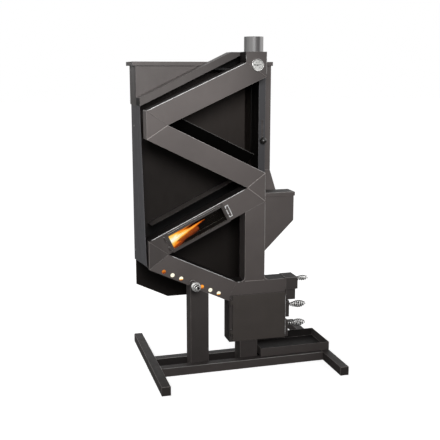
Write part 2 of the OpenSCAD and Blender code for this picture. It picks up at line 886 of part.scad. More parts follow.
// window: a framed glass on two hinges at its left end, latched by a wire at its right end
module window_frame() {
    end_x = window_len / 2;
    color(paint)
        at_window()
            difference() {
                union() {
                    translate([-window_len / 2, -slip - window_t, -window_h / 2])
                        cube([window_len, window_t, window_h]);
                    for (z = window_hinge_z)
                        translate([window_hinge_x, window_hinge_y, z - window_barrel_l / 2]) {
                            cylinder(r = window_barrel_r, h = window_barrel_l);
                            translate([0, -window_barrel_r, 0])
                                cube([window_hinge_out + cut, 2 * window_barrel_r, window_barrel_l]);
                        }
                    for (z = [-latch_lug_off, latch_lug_off])
                        translate([end_x + latch_off, window_hinge_y, z - window_lug_l / 2]) {
                            cylinder(r = latch_r + latch_wall, h = window_lug_l);
                            translate([-latch_off - cut, -latch_r - latch_wall, 0])
                                cube([latch_off + cut, 2 * (latch_r + latch_wall), window_lug_l]);
                        }
                }
                translate([-window_in_l / 2, -window_t - slip - cut, -window_in_h / 2])
                    cube([window_in_l, window_t + 2 * cut, window_in_h]);
                translate([-window_in_l / 2 - glass_lap, -slip - glass_t, -window_in_h / 2 - glass_lap])
                    cube([window_in_l + 2 * glass_lap, glass_t + cut, window_in_h + 2 * glass_lap]);
                for (z = window_hinge_z)
                    translate([window_hinge_x, window_hinge_y, z - window_barrel_l / 2 - cut])
                        cylinder(r = window_pin_r + pin_fit, h = window_barrel_l + 2 * cut);
                translate([end_x + latch_off, window_hinge_y, -latch_len / 2])
                    cylinder(r = latch_r + pin_fit, h = latch_len);
            }
}
module window_glass() {
    color(glass_tint)
        at_window()
            translate([-window_in_l / 2 - glass_lap, -slip - glass_t, -window_in_h / 2 - glass_lap])
                cube([window_in_l + 2 * glass_lap, glass_t, window_in_h + 2 * glass_lap]);
}
module window_hinge_pins() {
    color(bare_steel)
        at_window()
            for (z = window_hinge_z)
                translate([window_hinge_x, window_hinge_y, z - window_pin_len / 2])
                    cylinder(r = window_pin_r, h = window_pin_len);
}
// closed loop of wire: its left leg turns in the frame, its right leg rests in the catch
module window_latch() {
    color(steel)
        at_window()
            translate([window_len / 2 + latch_off, window_hinge_y, 0]) {
                for (x = [0, latch_reach])
                    translate([x, 0, -latch_len / 2])
                        cylinder(r = latch_r, h = latch_len);
                for (z = [-latch_len / 2, latch_len / 2]) {
                    translate([0, 0, z])
                        rotate([0, 90, 0])
                            cylinder(r = latch_r, h = latch_reach);
                    for (x = [0, latch_reach])
                        translate([x, 0, z])
                            sphere(r = latch_r);
                }
            }
}
module window_catch() {
    catch_x = window_len / 2 + latch_off + latch_reach;
    color(steel)
        at_window()
            difference() {
                translate([catch_x - catch_t / 2, window_hinge_y, -catch_w / 2])
                    cube([catch_t, -window_hinge_y, catch_w]);
                translate([catch_x, window_hinge_y, -catch_w / 2 - cut])
                    cylinder(r = latch_r + catch_fit, h = catch_w + 2 * cut);
            }
}

// plug of the lighting port, with its coiled handle
module lighting_port_plug() {
    color(paint)
        along_front(port_x, front_y - port_fit, port_z) {
            cylinder(r = plug_r, h = plug_t);
            translate([0, 0, -plug_in])
                cylinder(r = port_r, h = plug_in);
        }
}
module port_handle_stem() {
    along_front(port_x, front_y - port_fit - plug_t, port_z)
        stem(port_stem, port_coil);
}
module port_handle_coil() {
    along_front(port_x, front_y - port_fit - plug_t - port_stem, port_z)
        coil(port_coil);
}

// thermometer
module thermometer_case() {
    color(steel)
        along_front(dial_x, front_y, dial_z) {
            difference() {
                cylinder(r = dial_r, h = dial_t, $fn = 96);
                translate([0, 0, dial_face_t])
                    cylinder(r = dial_r - dial_wall, h = dial_t, $fn = 96);
            }
            cylinder(r = needle_pin_r, h = dial_face_t + 2 * needle_lift + needle_t);
        }
}
module thermometer_glass() {
    color(glass_tint)
        along_front(dial_x, front_y - dial_t + dial_glass_t, dial_z)
            cylinder(r = dial_r - dial_wall, h = dial_glass_t, $fn = 96);
}
module thermometer_needle() {
    color(black_knob)
        along_front(dial_x, front_y - dial_face_t - needle_lift, dial_z)
            rotate([0, 0, needle_rest])
            difference() {
                union() {
                    cylinder(r = needle_hub_r, h = needle_t);
                    translate([-needle_tail, -needle_w / 2, 0])
                        cube([needle_tail + needle_len, needle_w, needle_t]);
                }
                translate([0, 0, -cut])
                    cylinder(r = needle_pin_r + pin_fit, h = needle_t + 2 * cut);
            }
}

// casing round the back of the zigzag
function roof_low(x) = hopper_left_z + tan(roof_slope) * (x - case_left);
fascia_rise = fascia_h / cos(roof_slope);
roof_flat_x = case_left + (flue_box_top - hopper_left_z - fascia_rise) / tan(roof_slope);
roof_end_x = case_left + (flue_box_top - 2 * sheet - hopper_left_z) / tan(roof_slope);
deck_x = case_left + (deck_z - hopper_left_z) / tan(roof_slope);
wall_right_x = case_right + sheet;
sheet_rise = sheet / cos(roof_slope);
lid_low_z = hopper_top - lid_h;
module casing_left_wall() {
    color(wall_paint)
        difference() {
            cheek([[wall_top_y, hopper_left_z], [wall_foot_y, wall_foot_z], [wall_back, wall_back_z],
                [wall_back, hopper_left_z]], case_left, case_left + sheet);
            for (at = screw_at)
                translate([case_left - cut, at[0], at[1]])
                    rotate([0, 90, 0])
                        cylinder(r = screw_r + screw_fit, h = sheet + 2 * cut);
        }
}
module casing_screws() {
    color(steel)
        for (at = screw_at)
            translate([case_left - screw_head_t, at[0], at[1]])
                rotate([0, 90, 0]) {
                    cylinder(r = screw_head_r, h = screw_head_t);
                    cylinder(r = screw_r, h = screw_head_t + screw_len);
                }
}
// sloping roof with a folded front edge; it steps down at the back to pass under the hopper lid
module casing_roof() {
    roof_line = [[case_left, roof_low(case_left) + fascia_rise], [roof_flat_x, flue_box_top],
        [wall_right_x, flue_box_top]];
    color(paint) {
        difference() {
            union() {
                slab([[case_left, roof_low(case_left)], [roof_end_x, roof_low(roof_end_x)],
                    [wall_right_x, flue_box_top - 2 * sheet], roof_line[2], roof_line[1], roof_line[0]],
                    roof_front_y, roof_front_y + sheet);
                slab([[case_left, roof_line[0][1] - sheet_rise], [roof_flat_x, flue_box_top - sheet],
                    [wall_right_x, flue_box_top - sheet], roof_line[2], roof_line[1], roof_line[0]],
                    roof_front_y + sheet, roof_back_y);
                slab([[case_left, roof_low(case_left)], [case_left + sheet, roof_low(case_left + sheet)],
                    [case_left + sheet, roof_line[0][1]], roof_line[0]], roof_front_y + sheet, roof_back_y);
            }
            translate([left_x, bulkhead_y, lid_low_z - lid_clear])
                cube([stove_w, roof_back_y, flue_box_top]);
        }
        // back edge of the raised part, down to the shelf that meets the hopper
        intersection() {
            translate([left_x, bulkhead_y - sheet, lid_low_z - lid_clear - sheet])
                cube([stove_w, sheet, flue_box_top]);
            slab([[deck_x, deck_z], [wall_right_x, deck_z], [wall_right_x, flue_box_top - sheet],
                [roof_flat_x, flue_box_top - sheet], [deck_x, roof_low(deck_x) + fascia_rise - sheet_rise]],
                roof_front_y, roof_back_y);
        }
        translate([deck_x, bulkhead_y, lid_low_z - lid_clear - sheet])
            cube([case_right - deck_x, hopper_front - bulkhead_y, sheet]);
    }
}
// right wall of the casing, folded over in front into a strip with the slot of the gate knob;
// a narrow hem stands up its inner face, above the upper deflector
module casing_right_wall() {
    color(paint) {
        cheek([[roof_front_y + sheet, panel_low_z], [case_back, panel_low_z], [case_back, deck_z],
            [bulkhead_y - sheet, deck_z], [bulkhead_y - sheet, flue_box_top - 2 * sheet],
            [roof_front_y + sheet, flue_box_top - 2 * sheet]], case_right, wall_right_x);
        translate([case_right - hem_out, hem_y, hem_low_z])
            cube([hem_out + sheet, sheet, deck_z - hem_low_z]);
        difference() {
            translate([case_right, roof_front_y, strip_low_z])
                cube([strip_w, sheet, lid_low_z - lid_clear - strip_low_z]);
            gate_slot(roof_front_y);
        }
        translate([case_right, roof_front_y, panel_low_z])
            cube([sheet, sheet, strip_low_z - panel_low_z]);
        translate([case_right, roof_front_y, lid_low_z - lid_clear])
            cube([sheet, sheet, flue_box_top - 2 * sheet - lid_low_z + lid_clear]);
    }
}
module gate_slot(y) {
    translate([gate_x - slot_w / 2, y - cut, gate_z - slot_end])
        cube([slot_w, sheet + 2 * cut, gate_travel + 2 * slot_end]);
}
module casing_back_panel() {
    color(dark_paint)
        slab([[case_left + sheet, panel_left_z], [panel_low_x, panel_low_z], [wall_right_x, panel_low_z],
            [wall_right_x, deck_z], [deck_x, deck_z], [case_left + sheet, roof_low(case_left + sheet)]],
            case_back, case_back + sheet);
}
// plate behind a run that keeps heat off the hopper: its front edge follows the slope of the run
// from x0 and z0 to the right wall, and it tips down to the back panel
module deflector_plate(x0, z0, slope, tilt) {
    len = (case_right - x0) / cos(slope) + deflector_y;
    color(dark_paint)
        intersection() {
            translate([x0, deflector_y, z0])
                rotate([0, slope, 0])
                    rotate([-tilt, 0, 0])
                        translate([0, 0, -sheet])
                            cube([len, case_back, sheet]);
            translate([x0, deflector_y, panel_low_z])
                cube([case_right - x0, case_back - deflector_y, flue_box_top]);
        }
}
module heat_deflector() {
    deflector_plate(deflector_x0, deflector_z, slope_2, deflector_tilt);
}
module lower_heat_deflector() {
    deflector_plate(low_deflector_x0, low_deflector_z, -slope_3, low_deflector_tilt);
}

// hopper: a wide pocket over the casing, a sloping channel behind it and a shaft at the right
module hopper() {
    t = hopper_sheet;
    t_rise = t / cos(roof_slope);
    floor_slope = (hopper_left_z - shaft_join_z) / (shaft_x - hopper_left - t);
    color(paint)
        difference() {
            union() {
                slab([[hopper_left, hopper_left_z], [deck_x, deck_z], [hopper_right, deck_z],
                    [hopper_right, hopper_rim], [hopper_left, hopper_rim]], hopper_front, channel_y);
                slab([[hopper_left, hopper_left_z], [hopper_left + t, hopper_left_z],
                    [shaft_x, shaft_join_z], [hopper_right, shaft_join_z], [hopper_right, hopper_rim],
                    [hopper_left, hopper_rim]], channel_y, hopper_back);
                translate([shaft_x, hopper_front, shaft_low_z])
                    cube([hopper_right - shaft_x, hopper_back - hopper_front, hopper_rim - shaft_low_z]);
                for (x = lid_knuckles)
                    for (side = [-1, 1])
                        translate([x + side * (lid_knuckle_w + lid_lug_w + 2 * slip) / 2, 0, 0])
                            hopper_lug();
            }
            slab([[hopper_left + t, hopper_left_z + t + t_rise], [deck_x, deck_z + t],
                [hopper_right - t, deck_z + t], [hopper_right - t, hopper_top],
                [hopper_left + t, hopper_top]], hopper_front + t, hopper_back - t);
            slab([[hopper_left + t, hopper_left_z + t], [shaft_x, shaft_join_z + t],
                [shaft_x + 2 * t, shaft_join_z + t - 2 * t * floor_slope], [hopper_right - t, shaft_join_z],
                [hopper_right - t, hopper_top], [hopper_left + t, hopper_top]],
                channel_y + t, hopper_back - t);
            translate([shaft_x + t, hopper_front + t, shaft_low_z - cut])
                cube([hopper_right - shaft_x - 2 * t, hopper_back - hopper_front - 2 * t, hopper_top]);
            gate_slot(hopper_front);
            for (x = lid_knuckles)
                translate([x - lid_rod_len / 2 - cut, lid_hinge_y, lid_hinge_z])
                    rotate([0, 90, 0])
                        cylinder(r = lid_rod_r + pin_fit, h = lid_rod_len + 2 * cut);
        }
}
// bracket on the back of the hopper that holds the hinge rod
module hopper_lug() {
    translate([-lid_lug_w / 2, lid_hinge_y, lid_hinge_z])
        rotate([0, 90, 0])
            cylinder(r = lid_knuckle_r, h = lid_lug_w);
    cheek([[hopper_back - cut, lug_top_z - lug_drop], [hopper_back - cut, lug_top_z],
        [lid_y1 + cut, lug_top_z], [lid_hinge_y - lid_knuckle_r, lid_hinge_z],
        [lid_hinge_y + lid_knuckle_r, lid_hinge_z], [lid_hinge_y + lid_knuckle_r, lug_top_z]],
        -lid_lug_w / 2, lid_lug_w / 2);
}
module hopper_lid() {
    w = lid_x1 - lid_x0;
    d = lid_y1 - lid_y0;
    color(paint)
        difference() {
            union() {
                translate([lid_x0, lid_y0, lid_low_z])
                    cube([w, d, lid_h]);
                for (x = lid_knuckles)
                    translate([x - lid_knuckle_w / 2, lid_hinge_y, lid_hinge_z]) {
                        rotate([0, 90, 0])
                            cylinder(r = lid_knuckle_r, h = lid_knuckle_w);
                        translate([0, lid_y1 - lid_hinge_y - cut, 0])
                            cube([lid_knuckle_w, lid_hinge_y - lid_y1 + cut, lid_knuckle_r]);
                    }
            }
            translate([lid_x0 + lid_sheet, lid_y0 + lid_sheet, lid_low_z - cut])
                cube([w - 2 * lid_sheet, d - 2 * lid_sheet, lid_h - lid_sheet + cut]);
            for (x = lid_knuckles)
                translate([x - lid_rod_len / 2, lid_hinge_y, lid_hinge_z])
                    rotate([0, 90, 0])
                        cylinder(r = lid_rod_r + pin_fit, h = lid_rod_len);
        }
}
module hopper_hinge_rod() {
    color(bare_steel)
        for (x = lid_knuckles)
            translate([x - lid_rod_len / 2, lid_hinge_y, lid_hinge_z])
                rotate([0, 90, 0])
                    cylinder(r = lid_rod_r, h = lid_rod_len);
}

// chute from the foot of the shaft forward to the feed box
module feed_chute() {
    t = chute_wall;
    color(paint)
        difference() {
            cheek([[back_y, chute_back_z], [hopper_back, shaft_low_z], [hopper_front, shaft_low_z],
                [back_y, chute_top_z]], shaft_x, hopper_right);
            cheek([[back_y - cut, mouth_low], [hopper_back - t, shaft_low_z + cut],
                [hopper_front + t, shaft_low_z + cut], [hopper_front + t, chute_top_z + chute_fall],
                [back_y - cut, mouth_high]], shaft_x + t, hopper_right - t);
        }
}
// feed box at the right of the feed tube, open to the tube and closed by a lift-off lid
module feed_box() {
    t = feed_wall;
    wide = zig_right + feed_w;
    color(paint)
        difference() {
            slab([[zig_right, feed_foot_z], [wide, feed_side_z], [wide, feed_rim_z],
                [zig_right, feed_rim_z]], front_y, back_y);
            slab([[zig_right - cut, feed_foot_z + floor_t - cut], [wide - t, feed_side_z + floor_t - t],
                [wide - t, feed_rim_z + cut], [zig_right - cut, feed_rim_z + cut]],
                front_y + t, back_y - t);
            translate([shaft_x + chute_wall, back_y - t - cut, mouth_low])
                cube([hopper_right - shaft_x - 2 * chute_wall, t + 2 * cut, mouth_high - mouth_low]);
        }
}
module feed_box_lid() {
    w = feed_w + feed_lid_lap;
    d = tube_d + 2 * feed_lid_lap;
    t = feed_lid_t;
    color(paint)
        translate([zig_right + slip, front_y - feed_lid_lap, feed_top])
            difference() {
                cube([w, d, feed_lid_h]);
                translate([-cut, t, -cut])
                    cube([w - t + cut, d - 2 * t, feed_lid_h - t + cut]);
            }
}

// pellet gate: a blade inside the shaft, worked by a knob that slides in the slot
module gate_blade() {
    color(bare_steel)
        translate([shaft_x + hopper_sheet + cut, gate_y, gate_foot_z])
            cube([hopper_right - shaft_x - 2 * (hopper_sheet + cut), gate_t,
                gate_z + gate_top_up - gate_foot_z]);
}
module gate_rod() {
    color(bare_steel)
        translate([gate_x, knob_y, gate_z])
            rotate([-90, 0, 0])
                cylinder(r = gate_rod_r, h = gate_y - knob_y);
}
module gate_knob() {
    color(black_knob)
        difference() {
            translate([gate_x, knob_y, gate_z])
                sphere(r = knob_r, $fn = 96);
            translate([gate_x, knob_y, gate_z])
                rotate([-90, 0, 0])
                    cylinder(r = gate_rod_r, h = gate_y - knob_y);
        }
}

foot_left();
foot_right();
foot_end_plates();
rail_front();
rail_back();
main_post();
short_post();
pellet_tray();
burner_box();
burner_door();
burner_door_pins();
burner_drawer_front();
burner_basket();
burner_handle_stem();
burner_handle_coil();
ash_drawer_front();
ash_pan();
ash_handle_stem();
ash_handle_coil();
burn_tube();
intake_sleeve();
intake_handle_stem();
intake_handle_coil();
flue_run_1();
flue_run_2();
flue_run_3();
flue_run_4();
corner_upper_left();
corner_right();
corner_lower_left();
feed_tube();
flue_box();
flue_collar();
window_frame();
window_glass();
window_hinge_pins();
window_latch();
window_catch();
lighting_port_plug();
port_handle_stem();
port_handle_coil();
thermometer_case();
thermometer_glass();
thermometer_needle();
casing_left_wall();
casing_roof();
casing_right_wall();
casing_back_panel();
heat_deflector();
lower_heat_deflector();
casing_screws();
hopper();
hopper_lid();
hopper_hinge_rod();
feed_chute();
feed_box();
feed_box_lid();
gate_blade();
gate_rod();
gate_knob();
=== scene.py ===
import json
import math

import bmesh
import bpy
from mathutils import Matrix, Vector


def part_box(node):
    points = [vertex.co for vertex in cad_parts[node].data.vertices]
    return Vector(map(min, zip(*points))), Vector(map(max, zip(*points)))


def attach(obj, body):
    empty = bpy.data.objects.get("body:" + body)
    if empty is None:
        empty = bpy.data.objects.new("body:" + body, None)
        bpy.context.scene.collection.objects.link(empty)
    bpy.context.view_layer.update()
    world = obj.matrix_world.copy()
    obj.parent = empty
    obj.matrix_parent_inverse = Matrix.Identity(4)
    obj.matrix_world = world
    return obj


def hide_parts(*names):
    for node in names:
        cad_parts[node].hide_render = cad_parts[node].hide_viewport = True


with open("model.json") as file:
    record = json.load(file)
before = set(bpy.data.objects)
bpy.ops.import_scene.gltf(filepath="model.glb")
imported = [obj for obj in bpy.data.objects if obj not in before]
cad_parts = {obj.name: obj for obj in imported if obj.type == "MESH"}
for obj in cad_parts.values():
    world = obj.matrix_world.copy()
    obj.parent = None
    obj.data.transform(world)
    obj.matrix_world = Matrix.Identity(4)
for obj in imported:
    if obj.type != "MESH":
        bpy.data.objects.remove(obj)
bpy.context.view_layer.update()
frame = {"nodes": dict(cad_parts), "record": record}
nodes = frame["nodes"]
scene = bpy.context.scene
body_of_node = {n: b for b, ns in frame["record"]["behaviour"]["bodies"].items() for n in ns}

# camera, solved from the edges of the tubes; dip and turn in degrees
CAM_LENS, CAM_SENSOR = 61.8, 36
CAM_PLACE = (-0.9421, -3.1201, 1.2768)
CAM_DIP, CAM_TURN = 11.104, 15.784
cam_data = bpy.data.cameras.new("camera")
cam_data.lens = CAM_LENS
cam_data.sensor_width = CAM_SENSOR
cam = bpy.data.objects.new("camera", cam_data)
cam.location = CAM_PLACE
cam.rotation_euler = (math.radians(90 - CAM_DIP), 0, -math.radians(CAM_TURN))
scene.collection.objects.link(cam)
scene.camera = cam
scene.view_settings.view_transform = "Standard"

# the fire path as in the CAD: front plane, left and right ends, size of its tubes,
# slopes of its four runs in degrees, and the heights at which they start on the left
FRONT = -0.104
LEFT, RIGHT = -0.396, 0.112
TUBE = 0.09
SLOPE_1, SLOPE_2, SLOPE_3, SLOPE_4 = 24.5, 26.5, 26, 25.3
RUN_1_TOP, RUN_2_FOOT, RUN_3_TOP, RUN_4_FOOT = 1.123, 1.007, 0.585, 0.465
LEVEL_TOP = 0.384
FEED_LEFT = 0.022


def sin(degrees):
    return math.sin(math.radians(degrees))


def cos(degrees):
    return math.cos(math.radians(degrees))


def tan(degrees):
    return math.tan(math.radians(degrees))


def line(start, slope, across=0.0):
    """Height at x of a line that starts on the left, moved across its slope."""
    return lambda x: start + tan(slope) * (x - LEFT) + across / cos(slope)


run1_top = line(RUN_1_TOP, SLOPE_1)
run1_foot = line(RUN_1_TOP, SLOPE_1, -TUBE)
run2_top = line(RUN_2_FOOT, -SLOPE_2, TUBE)
run2_foot = line(RUN_2_FOOT, -SLOPE_2)
run3_top = line(RUN_3_TOP, SLOPE_3)
run3_foot = line(RUN_3_TOP, SLOPE_3, -TUBE)
run4_top = line(RUN_4_FOOT, -SLOPE_4, TUBE)
run4_foot = line(RUN_4_FOOT, -SLOPE_4)


def crossing(rising, falling):
    """Where two of these lines meet, as x and height."""
    closing = (rising(RIGHT) - rising(LEFT) + falling(LEFT) - falling(RIGHT)) / (RIGHT - LEFT)
    x = LEFT + (falling(LEFT) - rising(LEFT)) / closing
    return x, rising(x)


inner1 = crossing(run1_foot, run2_top)
inner2 = crossing(run3_top, run2_foot)
inner3 = crossing(run3_foot, run4_top)
kink = LEFT + (run4_top(LEFT) - LEVEL_TOP) / tan(SLOPE_4)


# materials
class Nodes:
    """A new node material, with short names for making its nodes."""

    def __init__(self, name):
        self.mat = bpy.data.materials.new(name)
        self.mat.use_nodes = True
        self.tree = self.mat.node_tree
        self.tree.nodes.clear()
        self.out = self.add("ShaderNodeOutputMaterial")
        self.coord = self.add("ShaderNodeTexCoord")

    def add(self, kind, **settings):
        node = self.tree.nodes.new(kind)
        for key, value in settings.items():
            setattr(node, key, value)
        return node

    def put(self, value, socket):
        """Links an output to the socket, or sets a number or a colour."""
        if isinstance(value, bpy.types.NodeSocket):
            self.tree.links.new(value, socket)
        else:
            socket.default_value = (*value, 1) if isinstance(value, tuple) else value

    def axes(self, vector):
        """The outputs X, Y and Z of a vector."""
        split = self.add("ShaderNodeSeparateXYZ")
        self.put(vector, split.inputs["Vector"])
        return split.outputs

    def place(self):
        return self.axes(self.coord.outputs["Object"])

    def facing(self):
        return self.axes(self.add("ShaderNodeNewGeometry").outputs["Normal"])

    def uv(self):
        return self.axes(self.coord.outputs["UV"])

    def noise(self, scale, detail=2.0, rough=0.5, stretch=None, space="Object"):
        """Noise from 0 to 1 in the object's own metres, stretched along an axis if asked."""
        noise = self.add("ShaderNodeTexNoise")
        noise.inputs["Scale"].default_value = scale
        noise.inputs["Detail"].default_value = detail
        noise.inputs["Roughness"].default_value = rough
        source = self.coord.outputs[space]
        if stretch:
            mapping = self.add("ShaderNodeMapping")
            mapping.inputs["Scale"].default_value = stretch
            self.put(source, mapping.inputs["Vector"])
            source = mapping.outputs["Vector"]
        self.put(source, noise.inputs["Vector"])
        return noise.outputs["Fac"]

    def ramp(self, fac, stops):
        ramp = self.add("ShaderNodeValToRGB")
        elements = ramp.color_ramp.elements
        while len(elements) < len(stops):
            elements.new(0.5)
        for element, (at, colour) in zip(elements, stops):
            element.position = at
            element.color = (*colour, 1)
        self.put(fac, ramp.inputs["Fac"])
        return ramp.outputs["Color"]

    def patches(self, noise, first, second):
        """Two tones in soft patches."""
        return self.ramp(noise, [(0.3, first), (0.7, second)])

    def span(self, value, lo, hi, out_lo, out_hi):
        """Moves lo to hi onto out_lo to out_hi, and goes no further."""
        node = self.add("ShaderNodeMapRange")
        names = ("Value", "From Min", "From Max", "To Min", "To Max")
        for name, given in zip(names, (value, lo, hi, out_lo, out_hi)):
            self.put(given, node.inputs[name])
        return node.outputs["Result"]

    def rise(self, value, lo, hi):
        return self.span(value, lo, hi, 0.0, 1.0)

    def drop(self, value, lo, hi):
        return self.span(value, lo, hi, 1.0, 0.0)

    def mix(self, fac, a, b, blend="MIX"):
        node = self.add("ShaderNodeMix", data_type="RGBA", blend_type=blend)
        for value, socket in ((fac, node.inputs[0]), (a, node.inputs[6]), (b, node.inputs[7])):
            self.put(value, socket)
        return node.outputs[2]

    def math(self, operation, a, b=0.0):
        node = self.add("ShaderNodeMath", operation=operation)
        self.put(a, node.inputs[0])
        self.put(b, node.inputs[1])
        return node.outputs[0]

    def times(self, a, b):
        return self.math("MULTIPLY", a, b)

    def wobble(self, noise, amount):
        """Noise as a change of half the amount either way."""
        return self.times(self.math("SUBTRACT", noise, 0.5), amount)

    def bump(self, height, strength, distance, normal=None):
        node = self.add("ShaderNodeBump")
        node.inputs["Strength"].default_value = strength
        node.inputs["Distance"].default_value = distance
        self.put(height, node.inputs["Height"])
        if normal:
            self.put(normal, node.inputs["Normal"])
        return node.outputs["Normal"]

    def shader(self, kind, **values):
        """A shader with values in its sockets, where _ stands for a space."""
        node = self.add("ShaderNode" + kind)
        for key, value in values.items():
            self.put(value, node.inputs[key.replace("_", " ")])
        return node.outputs[0]

    def blend(self, fac, first, second):
        """Goes from the first shader to the second."""
        node = self.add("ShaderNodeMixShader")
        for value, socket in zip((fac, first, second), node.inputs):
            self.put(value, socket)
        return node.outputs["Shader"]

    def show(self, shader):
        self.put(shader, self.out.inputs["Surface"])
        return self.mat


def scaled(colour, k):
    return tuple(min(1.0, c * k) for c in colour)


CHARCOAL = (0.122, 0.106, 0.101)
COOL = (0.100, 0.098, 0.104)
# near black for painted shade: inside the casing, under the roof, inside the coils and on the heat deflector
PAINTED_SHADE = (0.006, 0.0055, 0.005)
# painted shade inside the tubes and inside the tray
TUBE_PAINTED_SHADE = (0.007, 0.006, 0.0055)
TRAY_PAINTED_SHADE = (0.026, 0.023, 0.022)
DEEP_SHADE = (0.0035, 0.003, 0.003)
# painted shade inside the casing, in the tone of the back panel
PANEL = (0.021, 0.0165, 0.0142)
SCUFFED = (0.36, 0.35, 0.34)
# light tone of edges that face up: partly bare metal, partly painted highlight
WORN_AND_HIGHLIGHT = (0.82, 0.80, 0.78)
# the low shine where shade is painted
PAINTED_SHADE_SHINE = 0.06
# scales of the noises in paint and in bare metal
CLOUDS, POWDER, MARKS, SCUFFS, GRAIN = 5.0, 900.0, 38.0, 120.0, 620.0
SCRATCHES, TARNISH = 420.0, 30.0
# what faces a way, by where its normal starts and stops to count, and the width of a sharp border in metres
FRONTWARD, LEFTWARD, BACKWARD = (-0.7, -0.4), (-0.9, -0.7), (0.4, 0.7)
SLANTED, RAISED, UPWARD = (0.2, 0.4), (0.3, 0.6), (0.78, 0.88)
BORDER = 0.0005
# where painted shade lies: mouths of the tubes, the casing and the tray, the casing's back, and two slanting
# lines, the lower deflector's and the roof's, by their height at the middle of the stove
PAINTED_SHADE_DEPTH = 0.004
TUBE_MOUTH = FRONT + PAINTED_SHADE_DEPTH
CASING_MOUTH = -0.0108
TRAY_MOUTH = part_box("pellet_tray")[0].y + PAINTED_SHADE_DEPTH
CASING_REAR = 0.089
DEFLECTOR_Z = 0.784
BAND_LOW, BAND_HIGH, BAND_LEFT = (-0.14, -0.11), (-0.03, -0.012), (-0.375, -0.33)
ROOF_Z, ROOF_RISE = 1.350, 0.478
ROOF_END = (0.088, 0.090)


# layers of a paint, mostly painted shade and highlight: each returns a function that changes the tone and the
# shine where its mask says
def worn_and_highlight(share):
    """Lightens the rounded edges that face up and out: partly bare metal, partly painted highlight."""
    def layer(n, colour, tone, shine):
        up = n.facing()["Z"]
        bare = n.times(n.rise(up, *SLANTED), n.drop(up, UPWARD[0], 0.86))
        bare = n.times(bare, n.span(n.noise(9.0, 2.0, 0.5), 0.3, 0.65, share * 0.35, share))
        return n.mix(bare, tone, WORN_AND_HIGHLIGHT), shine
    return layer


def casing_painted_shade(front, rear=None):
    """Painted shade inside the casing: black behind the depth front save where it faces up, and like the back
    panel behind the depth rear; the shine drops there too.
    """
    def layer(n, colour, tone, shine):
        depth = n.place()["Y"]
        inner = n.times(n.rise(depth, front, front + BORDER), n.drop(n.facing()["Z"], *RAISED))
        dark = PAINTED_SHADE if rear is None else n.mix(n.rise(depth, rear, rear + 0.002), PAINTED_SHADE, PANEL)
        return n.mix(inner, tone, dark), n.span(inner, 0.0, 1.0, shine, PAINTED_SHADE_SHINE)
    return layer


def above(n, start, rise):
    """How far a point lies above a slanting line."""
    place = n.place()
    return n.math("SUBTRACT", place["Z"], n.math("ADD", n.times(place["X"], rise), start))


def deflector_shadow():
    """Painted shadow on the back panel, a dark band below the line of the lower deflector, and the panel's
    grey outer side.
    """
    def layer(n, colour, tone, shine):
        height = above(n, DEFLECTOR_Z, tan(SLOPE_3))
        band = n.times(n.rise(height, *BAND_LOW), n.drop(height, *BAND_HIGH))
        band = n.times(band, n.rise(n.place()["X"], *BAND_LEFT))
        tone = n.mix(band, tone, DEEP_SHADE)
        return n.mix(n.rise(n.facing()["Y"], *BACKWARD), tone, scaled(CHARCOAL, 0.85)), shine
    return layer


def roof_shadow():
    """Painted shade: the hopper's front is black where it lies under the line of the casing's roof."""
    def layer(n, colour, tone, shine):
        height = above(n, ROOF_Z, ROOF_RISE)
        hidden = n.times(n.drop(height, -0.004, 0.0), n.drop(n.facing()["Y"], *FRONTWARD))
        hidden = n.times(hidden, n.drop(n.place()["X"], *ROOF_END))
        return n.mix(hidden, tone, PAINTED_SHADE), shine
    return layer


def painted_shade_inside(front, soot_and_shade=TUBE_PAINTED_SHADE):
    """Painted shade: what faces the front is dark behind the depth front, and its shine drops."""
    def layer(n, colour, tone, shine):
        inner = n.times(n.rise(n.place()["Y"], front, front + BORDER), n.drop(n.facing()["Y"], *FRONTWARD))
        return n.mix(inner, tone, soot_and_shade), n.span(inner, 0.0, 1.0, shine, PAINTED_SHADE_SHINE)
    return layer


def painted_shade_left(share):
    """Painted shade on what faces left: leaves it a share of its tone and shine."""
    def layer(n, colour, tone, shine):
        side = n.facing()["X"]
        tone = n.mix(n.drop(side, *LEFTWARD), tone, scaled(colour, share))
        return tone, n.times(shine, n.span(side, *LEFTWARD, share, 1.0))
    return layer


def painted_shade_top(share):
    """Painted shade: darkens what faces up, and lowers its shine."""
    def layer(n, colour, tone, shine):
        up = n.facing()["Z"]
        tone = n.mix(n.rise(up, *UPWARD), tone, scaled(colour, share))
        return tone, n.times(shine, n.span(up, *UPWARD, 1.0, 0.3 + 0.7 * share))
    return layer


def painted_shade_along(axis, start, stop, share):
    """Painted shade: lets the tone fall to a share of itself from start to stop along an axis."""
    def layer(n, colour, tone, shine):
        return n.mix(n.rise(n.place()[axis], start, stop), tone, (share, share, share), "MULTIPLY"), shine
    return layer


